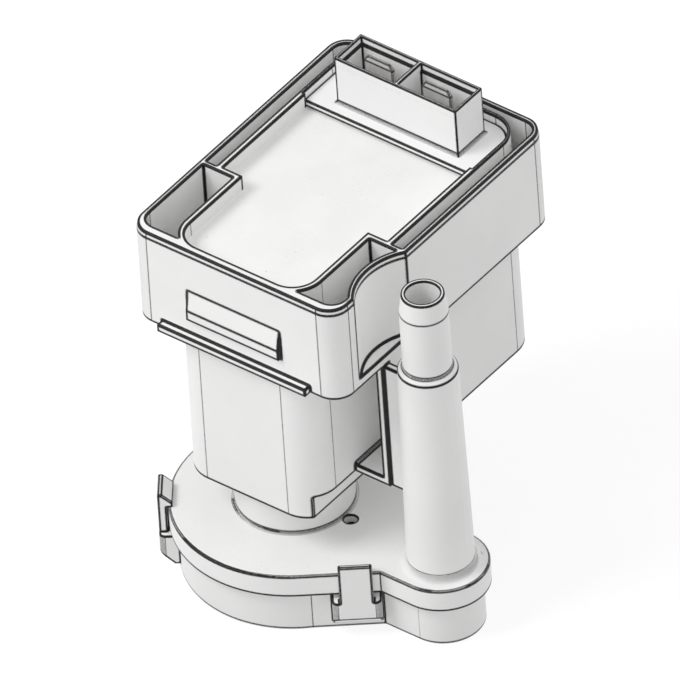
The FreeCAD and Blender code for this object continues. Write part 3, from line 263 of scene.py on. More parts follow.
def feed(tree: Tree, target: Socket, source: object) -> None:
    """Links a socket into another, or sets a plain value on it.

    Args:
        tree: The tree that holds both.
        target: The input socket.
        source: An output socket, a number or a tuple of numbers.
    """
    if isinstance(source, Socket):
        tree.links.new(source, target)
    else:
        target.default_value = source


def new_group(
    name: str, inputs: dict[str, str], outputs: dict[str, str],
) -> tuple[Tree, Node, Node]:
    """Makes an empty shader group with named sockets.

    Args:
        name: The group's name.
        inputs: Each input's name and kind, which is value, colour or vector.
        outputs: Each output's name and kind.

    Returns:
        The group's tree, its input node and its output node.
    """
    tree = bpy.data.node_groups.new(name, "ShaderNodeTree")
    for side, sockets in (("INPUT", inputs), ("OUTPUT", outputs)):
        for label, kind in sockets.items():
            tree.interface.new_socket(name=label, in_out=side, socket_type=SOCKETS[kind])
    return tree, tree.nodes.new("NodeGroupInput"), tree.nodes.new("NodeGroupOutput")


def arithmetic(tree: Tree, operation: str, first: object, second: object = 0.0) -> Socket:
    """Adds a math node.

    Args:
        tree: The tree that takes the node.
        operation: The operation's name.
        first: Its first operand, a socket or a number.
        second: Its second operand.

    Returns:
        The result's socket.
    """
    node = add_node(tree, "ShaderNodeMath", operation=operation)
    feed(tree, node.inputs[0], first)
    feed(tree, node.inputs[1], second)
    return node.outputs[0]


def ramp(
    tree: Tree, source: Socket, low: float, high: float,
    to_low: float = 0.0, to_high: float = 1.0,
) -> Socket:
    """Maps a range of values smoothly to another range, and holds it at the ends.

    Args:
        tree: The tree that takes the node.
        source: The value to map.
        low: Value that becomes to_low.
        high: Value that becomes to_high.
        to_low: Result at the low end.
        to_high: Result at the high end.

    Returns:
        The result's socket.
    """
    node = add_node(tree, "ShaderNodeMapRange", interpolation_type="SMOOTHSTEP")
    feed(tree, node.inputs["Value"], source)
    for label, value in (
        ("From Min", low), ("From Max", high), ("To Min", to_low), ("To Max", to_high),
    ):
        node.inputs[label].default_value = value
    return node.outputs["Result"]


def mix_colours(
    tree: Tree, share: object, first: object, second: object, blend: str = "MIX",
) -> Socket:
    """Mixes two colours.

    Args:
        tree: The tree that takes the node.
        share: How much of the second colour is used.
        first: The first colour, a socket or four numbers.
        second: The second colour.
        blend: How the second colour is laid over the first.

    Returns:
        The mixed colour's socket.
    """
    node = add_node(tree, "ShaderNodeMix", data_type="RGBA", blend_type=blend)
    feed(tree, node.inputs["Factor"], share)
    feed(tree, node.inputs["A"], first)
    feed(tree, node.inputs["B"], second)
    return node.outputs["Result"]


def noise(
    tree: Tree, vector: Socket, scale: object, detail: float = 2.0, roughness: float = 0.5,
) -> Socket:
    """Adds a noise texture.

    Args:
        tree: The tree that takes the node.
        vector: Coordinates that it reads.
        scale: Features in a metre, about, a socket or a number.
        detail: Number of finer layers.
        roughness: Strength of the finer layers.

    Returns:
        The socket of the noise's value, from 0 to 1.
    """
    node = add_node(tree, "ShaderNodeTexNoise")
    feed(tree, node.inputs["Vector"], vector)
    feed(tree, node.inputs["Scale"], scale)
    node.inputs["Detail"].default_value = detail
    node.inputs["Roughness"].default_value = roughness
    return node.outputs["Fac"]


def coordinate(tree: Tree, vector: Socket, axis: str) -> Socket:
    """Takes one coordinate out of a vector.

    Args:
        tree: The tree that takes the node.
        vector: The vector's socket.
        axis: X, Y or Z.

    Returns:
        The coordinate's socket.
    """
    split = add_node(tree, "ShaderNodeSeparateXYZ")
    feed(tree, split.inputs[0], vector)
    return split.outputs[axis]


def mix_shaders(tree: Tree, share: Socket, *pair: Socket) -> Socket:
    """Mixes two shaders.

    Args:
        tree: The tree that takes the node.
        share: How much of the second shader is used.
        *pair: The first and the second shader's socket.

    Returns:
        The mixed shader's socket.
    """
    node = add_node(tree, "ShaderNodeMixShader")
    for number, source in enumerate((share, *pair)):
        feed(tree, node.inputs[number], source)
    return node.outputs[0]


@dataclass(frozen=True)
class EdgeGroup:
    """Finds the edges of a piece: a mask that is 1 on an edge, and normals that round it."""

    name: str = "edges"
    samples: int = 16
    crease: Span = (0.0042, 0.009)
    fold: Span = (0.009, 0.03)
    turn: Span = (0.00007, 0.0003)

    def build(self) -> Tree:
        """Builds the group.

        Returns:
            The group, with Width, Folds and Turns in, and Mask and Normal out. Folds is the
            strength of the painted shade on shallow level creases, where only the normal's height
            changes, and Turns that on all shallow creases.
        """
        tree, given, made = new_group(
            self.name, {"Width": "value", "Folds": "value", "Turns": "value"},
            {"Mask": "value", "Normal": "vector"},
        )
        rounded = add_node(tree, "ShaderNodeBevel", samples=self.samples)
        feed(tree, rounded.inputs["Radius"], given.outputs["Width"])
        surface = add_node(tree, "ShaderNodeNewGeometry").outputs
        heights = [
            coordinate(tree, normal, "Z")
            for normal in (rounded.outputs["Normal"], surface["Normal"])
        ]
        tipped = arithmetic(tree, "ABSOLUTE", arithmetic(tree, "SUBTRACT", *heights))
        broken = self.departure(tree, rounded, surface["True Normal"])
        turned = self.departure(tree, rounded, surface["Normal"])
        # The mask carries painted shade on plastics and strips, and rubbed wear on sintered
        # pieces; Folds and Turns add painted shade on shallow creases.
        mask = ramp(tree, broken, *self.crease)
        for share, measure, limits in (("Folds", tipped, self.fold), ("Turns", turned, self.turn)):
            edge_shade = arithmetic(tree, "MULTIPLY", ramp(tree, measure, *limits), given.outputs[share])
            mask = arithmetic(tree, "MAXIMUM", mask, edge_shade)
        feed(tree, made.inputs["Mask"], mask)
        feed(tree, made.inputs["Normal"], rounded.outputs["Normal"])
        return tree

    @staticmethod
    def departure(tree: Tree, rounded: Node, normal: Socket) -> Socket:
        """Measures how far the rounded normal turns from another one.

        Args:
            tree: The group's tree.
            rounded: The Bevel node.
            normal: The normal to compare with.

        Returns:
            The socket of 1 less the cosine of the angle between them.
        """
        match = add_node(tree, "ShaderNodeVectorMath", operation="DOT_PRODUCT")
        feed(tree, match.inputs[0], rounded.outputs["Normal"])
        feed(tree, match.inputs[1], normal)
        return arithmetic(tree, "SUBTRACT", 1.0, match.outputs["Value"])


@dataclass(frozen=True)
class GrainGroup:
    """The fine spark-eroded texture of a mould, and the slow drift of tone in a moulding."""

    name: str = "mould_grain"
    drift_scale: float = 55.0

    def build(self) -> Tree:
        """Builds the group.

        Returns:
            The group, with Vector and Scale in, and Height and Drift out.
        """
        tree, given, made = new_group(
            self.name, {"Vector": "vector", "Scale": "value"},
            {"Height": "value", "Drift": "value"},
        )
        place = given.outputs["Vector"]
        fine = noise(tree, place, given.outputs["Scale"], detail=3.0, roughness=0.6)
        feed(tree, made.inputs["Height"], fine)
        feed(tree, made.inputs["Drift"], noise(tree, place, self.drift_scale, detail=4.0))
        return tree


@dataclass(frozen=True)
class DustGroup:
    """Fine dust that settles on what faces up."""

    name: str = "dust"
    upward: Span = (0.55, 0.98)
    patch_scale: float = 130.0
    patch_span: Span = (0.42, 0.7)
    speck_scale: float = 2600.0
    speck_span: Span = (0.5, 0.68)

    def build(self) -> Tree:
        """Builds the group.

        Returns:
            The group, with Vector in and Mask out.
        """
        tree, given, made = new_group(self.name, {"Vector": "vector"}, {"Mask": "value"})
        place = given.outputs["Vector"]
        surface = add_node(tree, "ShaderNodeNewGeometry")
        height = coordinate(tree, surface.outputs["Normal"], "Z")
        upward = ramp(tree, height, *self.upward)
        patches = ramp(tree, noise(tree, place, self.patch_scale, detail=5.0), *self.patch_span)
        specks = ramp(tree, noise(tree, place, self.speck_scale, detail=1.0), *self.speck_span)
        laid = arithmetic(tree, "MULTIPLY", patches, specks)
        feed(tree, made.inputs["Mask"], arithmetic(tree, "MULTIPLY", laid, upward))
        return tree


@dataclass(frozen=True)
class StreakGroup:
    """Fine parallel tool marks, drawn out along one axis."""

    name: str = "streaks"
    across: float = 9000.0

    def build(self) -> Tree:
        """Builds the group.

        Returns:
            The group, with Vector and Along in, and Value out. Along scales the coordinates.
        """
        tree, given, made = new_group(
            self.name, {"Vector": "vector", "Along": "vector"}, {"Value": "value"},
        )
        drawn = add_node(tree, "ShaderNodeVectorMath", operation="MULTIPLY")
        feed(tree, drawn.inputs[0], given.outputs["Vector"])
        feed(tree, drawn.inputs[1], given.outputs["Along"])
        marks = noise(tree, drawn.outputs["Vector"], self.across, detail=3.0)
        feed(tree, made.inputs["Value"], marks)
        return tree


@dataclass(frozen=True)
class ShaderGroups:
    """The shared groups, each built once."""

    edges: Tree
    grain: Tree
    dust: Tree
    streaks: Tree

    @classmethod
    def build(cls) -> "ShaderGroups":
        """Builds every group."""
        kinds = (EdgeGroup, GrainGroup, DustGroup, StreakGroup)
        return cls(*(kind().build() for kind in kinds))


# Finishes


class Texture(Enum):
    """How a mould's walls were finished: grain in features a metre, and its depth in metres."""

    POLISHED = (2200.0, 1.0e-6)
    FINE_SPARK = (3600.0, 3.0e-6)

    @property
    def scale(self) -> float:
        """Features in a metre."""
        return self.value[0]

    @property
    def depth(self) -> float:
        """Depth of the grain."""
        return self.value[1]


class Axis(Enum):
    """How tool marks or wires run: up, or level round the piece. Small numbers draw them out."""

    Z = (1.0, 1.0, 0.03)
    ROUND = (0.05, 0.05, 1.0)


def grey(level: float) -> tuple[float, float, float, float]:
    """A neutral colour with its alpha."""
    return (level, level, level, 1.0)


def opaque(colour: Colour) -> tuple[float, float, float, float]:
    """A colour with its alpha."""
    return (*colour, 1.0)


class Coat(NamedTuple):
    """A material in the making: tree, shader, Object coordinates and the shared groups."""

    tree: Tree
    shader: Node
    place: Socket
    groups: ShaderGroups

    def put(self, label: str, source: object) -> None:
        """Feeds one of the shader's inputs from a socket, or sets a plain value on it."""
        feed(self.tree, self.shader.inputs[label], source)

    def paint(self, share: object, *colours: object) -> None:
        """Gives the shader its first colour, with a share of the second laid over it."""
        self.put("Base Color", mix_colours(self.tree, share, *colours))

    def use(self, group: Tree, **values: object) -> Node:
        """Adds a shared group with its values.

        Args:
            group: The shared group.
            **values: A socket or a plain value for each input.

        Returns:
            The group's node.
        """
        node = add_node(self.tree, "ShaderNodeGroup", node_tree=group)
        for label, value in values.items():
            feed(self.tree, node.inputs[label], value)
        return node

    def emboss(self, height: Socket, depth: float, normal: Socket | None = None) -> None:
        """Gives the shader a fine relief.

        Args:
            height: The relief, from 0 to 1.
            depth: Height of the relief in metres.
            normal: Normals that the relief lies on.
        """
        bump = add_node(self.tree, "ShaderNodeBump")
        bump.inputs["Distance"].default_value = depth
        feed(self.tree, bump.inputs["Height"], height)
        if normal is not None:
            feed(self.tree, bump.inputs["Normal"], normal)
        self.put("Normal", bump.outputs["Normal"])


@dataclass(frozen=True)
class Finish:
    """What every finish has: a name, a colour, a roughness, and how its own pattern changes them.

    Where the pattern is low, tone is the share of the colour that is left, and wear says how
    much smoother the surface is there, and then how much rougher it is where the pattern is high.
    """

    name: str
    colour: Colour
    roughness: float
    tone: float = 1.0
    wear: Span = (0.0, 0.0)

    def build(self, groups: ShaderGroups) -> Material:
        """Builds the material, with the finish's own pattern in Object coordinates.

        Args:
            groups: The shared groups.

        Returns:
            The material.
        """
        material = bpy.data.materials.new(self.name)
        material.use_nodes = True
        tree = material.node_tree
        place = add_node(tree, "ShaderNodeTexCoord").outputs["Object"]
        coat = Coat(tree, tree.nodes["Principled BSDF"], place, groups)
        coat.put("Base Color", opaque(self.colour))
        coat.put("Roughness", self.roughness)
        self.lay(coat)
        return material

    def lay(self, coat: Coat) -> None:
        """Lays the finish's own pattern, which every kind of finish does in its way."""

    def toned(self, tree: Tree, pattern: Socket) -> Socket:
        """Darkens the finish's colour where a pattern is low, and returns the colour's socket."""
        shade = ramp(tree, pattern, *NOISE_SPAN, self.tone, 1.0)
        return mix_colours(tree, 1.0, opaque(self.colour), shade, blend="MULTIPLY")

    def worn(self, tree: Tree, pattern: Socket, span: Span = NOISE_SPAN) -> Socket:
        """Changes the roughness along a span of a pattern, and returns its socket."""
        smoother, rougher = self.wear
        return ramp(tree, pattern, *span, self.roughness - smoother, self.roughness + rougher)


@dataclass(frozen=True)
class MouldedPlastic(Finish):
    """An injection moulding: mould grain, drift of tone, dust, and painted shade, near-black
    strokes along its edges.
    """

    texture: Texture = Texture.FINE_SPARK
    # Painted shade along the edges: its strength, width and near-black colour.
    edge_shade: float = 1.0
    edge_shade_width: float = 0.7 * MM
    edge_shade_colour: Colour = (0.006, 0.006, 0.007)
    folds: float = 1.0
    turns: float = 0.0
    gloss: float = 0.25
    dust: float = 0.10
    dust_roughness: float = 0.2
    dust_colour: Colour = (0.42, 0.40, 0.37)
    tone: float = 0.955
    wear: Span = (0.04, 0.05)

    def lay(self, coat: Coat) -> None:
        """Lays grain, dust and painted edge shade.

        Args:
            coat: The material in the making.
        """
        tree, _, place, groups = coat
        coat.put("Specular IOR Level", self.gloss)
        grain = coat.use(groups.grain, Vector=place, Scale=self.texture.scale)
        edges = coat.use(
            groups.edges, Width=self.edge_shade_width, Folds=self.folds, Turns=self.turns,
        )
        dust = coat.use(groups.dust, Vector=place).outputs["Mask"]
        dusted = mix_colours(
            tree, arithmetic(tree, "MULTIPLY", dust, self.dust),
            self.toned(tree, grain.outputs["Drift"]), opaque(self.dust_colour),
        )
        # Painted shade: the edge mask darkens the colour to near black along sharp edges and
        # creases.
        edge_shade_mask = arithmetic(tree, "MULTIPLY", edges.outputs["Mask"], self.edge_shade)
        coat.paint(edge_shade_mask, dusted, opaque(self.edge_shade_colour))
        dulled = arithmetic(
            tree, "ADD", self.worn(tree, grain.outputs["Height"]),
            arithmetic(tree, "MULTIPLY", dust, self.dust_roughness),
        )
        coat.put("Roughness", dulled)
        coat.emboss(grain.outputs["Height"], self.texture.depth, edges.outputs["Normal"])


@dataclass(frozen=True)
class CastResin(Finish):
    """Potting resin: smooth, with a slow swell, a few pinholes darkened with painted shade, and a
    little dust.
    """

    swell: float = 4.0e-5
    swell_scale: float = 45.0
    pinhole: float = 2.5e-5
    pinhole_scale: float = 230.0
    pinhole_edge: Span = (0.02, 0.07)
    # Painted shade in the pinholes: its share and its grey.
    pinhole_shade: float = 0.3
    pinhole_shade_grey: float = 0.25
    cloud_scale: float = 90.0
    gloss: float = 0.12
    gloss_roughness: float = 0.3
    dust: float = 0.15
    dust_colour: Colour = (0.45, 0.43, 0.40)
    tone: float = 0.95
    wear: Span = (0.05, 0.08)

    def lay(self, coat: Coat) -> None:
        """Lays swell, pinholes with painted shade in them, and dust.

        Args:
            coat: The material in the making.
        """
        tree, _, place, groups = coat
        coat.put("Coat Roughness", self.gloss_roughness)
        coat.put("Coat Weight", self.gloss)
        dust = coat.use(groups.dust, Vector=place)
        cloud = noise(tree, place, self.cloud_scale, detail=5.0)
        cells = add_node(tree, "ShaderNodeTexVoronoi", feature="F1")
        feed(tree, cells.inputs["Vector"], place)
        cells.inputs["Scale"].default_value = self.pinhole_scale
        holes = ramp(tree, cells.outputs["Distance"], *self.pinhole_edge)
        # Painted shade: the middle of each pinhole is darkened towards grey.
        pinhole_shaded = mix_colours(
            tree, ramp(tree, holes, 0.0, 1.0, self.pinhole_shade, 0.0),
            self.toned(tree, cloud), grey(self.pinhole_shade_grey),
        )
        dusted = arithmetic(tree, "MULTIPLY", dust.outputs["Mask"], self.dust)
        coat.paint(dusted, pinhole_shaded, opaque(self.dust_colour))
        coat.put("Roughness", self.worn(tree, cloud))
        swelling = noise(tree, place, self.swell_scale, detail=1.0)
        relief = arithmetic(
            tree, "ADD", arithmetic(tree, "MULTIPLY", swelling, self.swell),
            arithmetic(tree, "MULTIPLY", holes, self.pinhole),
        )
        coat.emboss(relief, depth=1.0)


@dataclass(frozen=True)
class PlatedStrip(Finish):
    """Plated sheet metal: rolling marks along the strip, and painted shade, near-black strokes
    along its edges.
    """

    # Painted shade along the edges: its width and near-black colour.
    edge_shade_width: float = 0.5 * MM
    edge_shade_colour: Colour = (0.012, 0.011, 0.010)
    folds: float = 1.0
    metallic: float = 0.8
    along: Axis = Axis.Z
    mark_depth: float = 1.5e-6
    tone: float = 0.88
    wear: Span = (0.08, 0.1)

    def lay(self, coat: Coat) -> None:
        """Lays rolling marks and painted edge shade.

        Args:
            coat: The material in the making.
        """
        tree, _, place, groups = coat
        marks = coat.use(groups.streaks, Vector=place, Along=self.along.value)
        edges = coat.use(groups.edges, Width=self.edge_shade_width, Folds=self.folds)
        edge_shade_mask, rolled = edges.outputs["Mask"], marks.outputs["Value"]
        # Painted shade: along the edge mask the strip loses its metal and darkens to near black.
        coat.put("Metallic", ramp(tree, edge_shade_mask, 0.0, 1.0, self.metallic, 0.0))
        coat.paint(edge_shade_mask, self.toned(tree, rolled), opaque(self.edge_shade_colour))
        coat.put("Roughness", self.worn(tree, rolled))
        coat.emboss(rolled, self.mark_depth, edges.outputs["Normal"])


@dataclass(frozen=True)
class BandedMetal(Finish):
    """Metal in bands: wound wire, stacked sheet or the rings that a lathe leaves."""

    band_axis: str = "Z"
    pitch: float = 0.5 * MM
    depth: float = 6.0e-5
    gap_share: float = 0.35
    gap_colour: Colour = (0.05, 0.045, 0.04)
    metallic: float = 1.0
    tone: float = 0.82
    wear: Span = (0.06, 0.08)

    def lay(self, coat: Coat) -> None:
        """Lays the bands.

        Args:
            coat: The material in the making.
        """
        tree, _, place, groups = coat
        coat.put("Metallic", self.metallic)
        reach = coordinate(tree, place, self.band_axis)
        turns = arithmetic(tree, "MULTIPLY", reach, math.pi / self.pitch)
        crown = arithmetic(tree, "ABSOLUTE", arithmetic(tree, "SINE", turns))
        streaks = coat.use(groups.streaks, Vector=place, Along=Axis.ROUND.value)
        wander = streaks.outputs["Value"]
        gap = ramp(tree, crown, 0.0, self.gap_share, 1.0, 0.0)
        coat.paint(gap, self.toned(tree, wander), opaque(self.gap_colour))
        coat.put("Roughness", self.worn(tree, wander))
        coat.emboss(crown, self.depth)


@dataclass(frozen=True)
class Sintered(Finish):
    """A pressed and sintered piece: open pores and a speckle of tone."""

    metallic: float = 0.0
    pore_scale: float = 5200.0
    pore_span: Span = (0.36, 0.5)
    pore_depth: float = 8.0e-6
    rub_width: float = 0.2 * MM
    rub: float = 0.35
    rub_shine: float = 0.5
    rub_level: float = 0.9
    tone: float = 0.72
    wear: Span = (-0.2, 0.0)

    def lay(self, coat: Coat) -> None:
        """Lays pores and bright rubbed edges.

        Args:
            coat: The material in the making.
        """
        tree, _, place, groups = coat
        coat.put("Metallic", self.metallic)
        edges = coat.use(groups.edges, Width=self.rub_width)
        grains = noise(tree, place, self.pore_scale, detail=2.0)
        pores = ramp(tree, grains, *self.pore_span)
        bright = mix_colours(tree, self.rub_shine, opaque(self.colour), grey(self.rub_level))
        rubbed = arithmetic(tree, "MULTIPLY", edges.outputs["Mask"], self.rub)
        coat.paint(rubbed, self.toned(tree, grains), bright)
        coat.put("Roughness", self.worn(tree, pores, (0.0, 1.0)))
        coat.emboss(pores, self.pore_depth, edges.outputs["Normal"])


@dataclass(frozen=True)
class MouldedRubber(Finish):
    """A soft rubber moulding with a matt bloom."""

    bloom: float = 0.7
    bloom_scale: float = 420.0
    bloom_span: Span = (0.45, 0.75)
    bloom_colour: Colour = (0.11, 0.11, 0.12)
    grain_scale: float = 3000.0
    grain_depth: float = 6.0e-6
    wear: Span = (0.1, 0.15)

    def lay(self, coat: Coat) -> None:
        """Lays the bloom.

        Args:
            coat: The material in the making.
        """
        tree, _, place, groups = coat
        grain = coat.use(groups.grain, Vector=place, Scale=self.grain_scale)
        clouds = noise(tree, place, self.bloom_scale, detail=6.0)
        powder = ramp(tree, clouds, *self.bloom_span, 0.0, self.bloom)
        coat.paint(powder, opaque(self.colour), opaque(self.bloom_colour))
        coat.put("Roughness", self.worn(tree, powder, (0.0, self.bloom)))
        coat.emboss(grain.outputs["Height"], self.grain_depth)


# Witness marks take a fainter, narrower painted edge shade.
WITNESS = {"edge_shade": 0.35, "edge_shade_width": 0.12 * MM}

# Moulded plastics and the tinned strip wear painted shade along their edges, as wide as each width
# given here.
FINISHES: tuple[Finish, ...] = (
    MouldedPlastic("housing_plastic", (0.87, 0.87, 0.865), 0.46, turns=1.0),
    MouldedPlastic("head_plastic", (0.86, 0.86, 0.855), 0.42, edge_shade_width=0.6 * MM),
    MouldedPlastic("bowl_plastic", (0.85, 0.85, 0.845), 0.44, edge_shade_width=0.5 * MM, turns=1.0),
    MouldedPlastic("housing_witness", (0.87, 0.87, 0.865), 0.40, **WITNESS),
    MouldedPlastic("head_witness", (0.86, 0.86, 0.855), 0.38, **WITNESS),
    MouldedPlastic("connector_plastic", (0.87, 0.87, 0.87), 0.40, edge_shade_width=0.65 * MM),
    MouldedPlastic("bobbin_plastic", (0.62, 0.60, 0.54), 0.50),
    MouldedPlastic("carrier_plastic", (0.55, 0.55, 0.53), 0.45),
    MouldedPlastic("impeller_plastic", (0.70, 0.70, 0.68), 0.42),
    MouldedPlastic("washer_plastic", (0.66, 0.60, 0.45), 0.35, texture=Texture.POLISHED),
    CastResin("potting_resin", (0.86, 0.86, 0.85), 0.46),
    PlatedStrip("tinned_brass", (0.88, 0.87, 0.85), 0.36),
    BandedMetal(
        "copper_wire", (0.72, 0.30, 0.13), 0.32, band_axis="Y", pitch=0.28 * MM, depth=8.0e-5,
        gap_colour=(0.16, 0.04, 0.015), metallic=0.85,
    ),
    BandedMetal("lamination_steel", (0.42, 0.42, 0.43), 0.42),
    BandedMetal(
        "shaft_steel", (0.66, 0.66, 0.67), 0.20, pitch=0.09 * MM, depth=1.0e-6,
        gap_colour=(0.5, 0.5, 0.51),
    ),
    Sintered("bearing_bronze", (0.55, 0.36, 0.17), 0.38, metallic=0.9),
    Sintered("ferrite", (0.055, 0.055, 0.06), 0.5),
    MouldedRubber("seal_rubber", (0.022, 0.022, 0.024), 0.62),
)


class Wardrobe:
    """Builds each finish once and puts it on pieces."""

    def __init__(self) -> None:
        """Builds the shared groups and every material."""
        groups = ShaderGroups.build()
        self.materials = {finish.name: finish.build(groups) for finish in FINISHES}

    def dress(self, thing: Piece, slot: str) -> None:
        """Puts a finish on every material slot of an object.

        Args:
            thing: A piece or a frame node.
            slot: The record's name of the finish.
        """
        if not thing.material_slots:
            thing.data.materials.append(self.materials[slot])
        for held in thing.material_slots:
            held.material = self.materials[slot]

    def hand_over(
        self, piece: Piece, body: str, slot: str, *stands_for: str, finish: str | None = None,
    ) -> None:
        """Dresses a new piece and ties it to the frame.

        Args:
            piece: The finished piece.
            body: The body that it rides on.
            slot: The record's name of its finish.
            *stands_for: Frame nodes that the piece replaces.
            finish: Name of its own finish, where it isn't the slot's.
        """
        self.dress(piece, finish or slot)
        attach(piece, body)
        if stands_for:
            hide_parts(*stands_for)
        LOG.info("%s rides on %s, %d faces", piece.name, body, len(piece.data.polygons))


# Sub-assemblies


@dataclass
class SubAssembly:
    """A group of pieces that are built and dressed together."""

    wardrobe: Wardrobe

    def dress_nodes(self, slots: dict[str, str]) -> None:
        """Dresses the frame's own nodes.

        Args:
            slots: Each node's name and the slot of its finish.
        """
        for node, slot in slots.items():
            self.wardrobe.dress(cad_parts[node], slot)
            LOG.info("%s wears %s", node, slot)


@dataclass
class MotorHousing(SubAssembly):
    """The square collar with its motor case, and the marks that its mould left."""

    floor_level: float = 55.0 * MM
    pin_radius: float = 1.5 * MM
    pin_sides: int = 40
    pin_height: float = 0.09 * MM
    rim_share: float = 0.14
    dish_share: float = 0.5
    slope_share: float = 0.2
    pin_round: float = 0.02 * MM
    pin_places: tuple[tuple[float, float], ...] = (
        (-18.0 * MM, -4.5 * MM), (-18.0 * MM, 3.5 * MM), (17.9 * MM, -8.6 * MM),
    )

    def build_pin_mark(self) -> Piece:
        """Models one witness disc of an ejector pin, with a shallow dished middle.

        Returns:
            The disc, at the first place.
        """
        x, y = self.pin_places[0]
        deselect_everything()
        bpy.ops.mesh.primitive_cylinder_add(
            vertices=self.pin_sides, radius=self.pin_radius, depth=2 * self.pin_height,
            location=(x, y, self.floor_level),
        )
        mark = bpy.context.active_object
        mark.name = "pin_mark_1"
        with editing(mark):
            select("FACE", faces_up)
            bpy.ops.mesh.inset(thickness=self.rim_share * self.pin_radius)
            bpy.ops.transform.translate(value=(0.0, 0.0, -self.dish_share * self.pin_height))
            bpy.ops.mesh.inset(thickness=self.slope_share * self.pin_radius)
        soften(mark, self.pin_round)
        settle(mark)
        return mark

    def build(self) -> None:
        """Builds the pin marks and dresses the housing."""
        self.dress_nodes({"stator_housing": "housing_plastic"})
        first = self.build_pin_mark()
        marks = [first]
        for number, (x, y) in enumerate(self.pin_places[1:], start=2):
            move = (x - self.pin_places[0][0], y - self.pin_places[0][1], 0.0)
            marks.append(copy_piece(first, f"pin_mark_{number}", move))
        for mark in marks:
            self.wardrobe.hand_over(mark, "housing", "housing_plastic", finish="housing_witness")


@dataclass
class PottedCase(SubAssembly):
    """The resin in the motor case, with the surface that it set to."""

    level: float = 69.6 * MM
    level_slack: float = 0.05 * MM
    climb: float = 0.34 * MM
    smooth_angle: float = 60.0
    steps: tuple[Span, ...] = (
        (0.12 * MM, 0.15 * MM), (0.2 * MM, 0.10 * MM), (0.32 * MM, 0.05 * MM),
        (0.45 * MM, 0.02 * MM),
    )
    skin: float = 0.6 * MM

    def build_surface(self) -> Piece:
        """Models the resin's top as a skin that climbs the walls a little.

        Returns:
            The skin, whose underside lies inside the resin.
        """
        surface = copy_of_node("potting_fill", "potting_surface")
        with editing(surface):
            select(
                "FACE", lambda face: face.normal.z < LEVEL_NORMAL
                or face.calc_center_median().z < self.level - self.level_slack,
            )
            bpy.ops.mesh.delete(type="FACE")
            bpy.ops.mesh.select_all(action="SELECT")
            bpy.ops.transform.translate(value=(0.0, 0.0, self.climb))
            for width, drop in self.steps:
                bpy.ops.mesh.inset(
                    thickness=width, depth=-drop, use_boundary=True, use_even_offset=True,
                )
        run_modifier(surface, "SOLIDIFY", thickness=self.skin, offset=-1.0, use_even_offset=False)
        settle(surface, smooth_angle=self.smooth_angle, outward=False)
        return surface

    def build(self) -> None:
        """Builds the resin's skin and dresses the resin."""
        self.dress_nodes({"potting_fill": "potting_resin"})
        self.wardrobe.hand_over(self.build_surface(), "housing", "potting_resin")


@dataclass
class Connector(SubAssembly):
    """The two-chamber socket with its plate, and the two blades that stand in it."""

    blade_half: float = 3.15 * MM
    thickness: float = 0.8 * MM
    waist_half: float = 2.35 * MM
    waist_share: float = 0.94
    nose: float = 1.1 * MM
    point: float = 0.75 * MM
    tip_share: float = 0.45
    coin: float = 0.16 * MM
    edge_round: float = 0.04 * MM
    smooth_angle: float = 8.0
    hole_radius: float = 0.6 * MM
    hole_sides: int = 32
    hole_drop: float = 4.4 * MM
    plate_bottom: float = 70.05 * MM

    def build_blade(self, node: str, name: str) -> Piece:
        """Models one blade with a coined, pointed end, a waist in the resin and a round hole.

        Args:
            node: The frame node that the blade stands for.
            name: Name of the blade.

        Returns:
            The blade.
        """
        low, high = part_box(node)
        middle = (low + high) / 2
        shoulder = high.z - self.nose
        deselect_everything()
        bpy.ops.mesh.primitive_cube_add(
            size=1.0, location=(middle.x, middle.y, (self.plate_bottom + shoulder) / 2),
            scale=(2 * self.blade_half, self.thickness, shoulder - self.plate_bottom),
        )
        blade = bpy.context.active_object
        blade.name = name
        bpy.ops.object.transform_apply(location=True, rotation=True, scale=True)
        with editing(blade):
            select("EDGE", runs_upright)
            bpy.ops.mesh.bevel(offset=self.coin, segments=1, affect="EDGES")
            select("FACE", faces_up)
            extrude(self.nose)
            bpy.ops.transform.resize(
                value=((self.blade_half - self.point) / self.blade_half, self.tip_share, 1.0),
                center_override=(middle.x, middle.y, high.z),
            )
            select("FACE", faces_down)
            bpy.ops.mesh.extrude_region_move()
            bpy.ops.transform.resize(
                value=(self.waist_half / self.blade_half, self.waist_share, 1.0),
                center_override=(middle.x, middle.y, self.plate_bottom),
            )
            extrude(low.z - self.plate_bottom)
        self.drill(blade, (middle.x, middle.y, high.z - self.hole_drop))
        soften(blade, self.edge_round)
        settle(blade, smooth_angle=self.smooth_angle)
        return blade

    def drill(self, blade: Piece, place: Point) -> None:
        """Cuts the latch hole through a blade.

        Args:
            blade: The blade.
            place: Middle of the hole.
        """
        deselect_everything()
        bpy.ops.mesh.primitive_cylinder_add(
            vertices=self.hole_sides, radius=self.hole_radius, depth=4 * self.thickness,
            location=place, rotation=(math.pi / 2, 0.0, 0.0),
        )
        drill = bpy.context.active_object
        run_modifier(blade, "BOOLEAN", object=drill, operation="DIFFERENCE", solver="EXACT")
        bpy.data.objects.remove(drill)

    def build(self) -> None:
        """Builds the blades and dresses the socket."""
        self.dress_nodes({"connector_housing": "connector_plastic"})
        for side in ("left", "right"):
            node = f"terminal_tab_{side}"
            self.dress_nodes({node: "tinned_brass"})
            blade = self.build_blade(node, f"terminal_blade_{side}")
            self.wardrobe.hand_over(blade, "housing", "tinned_brass", node)


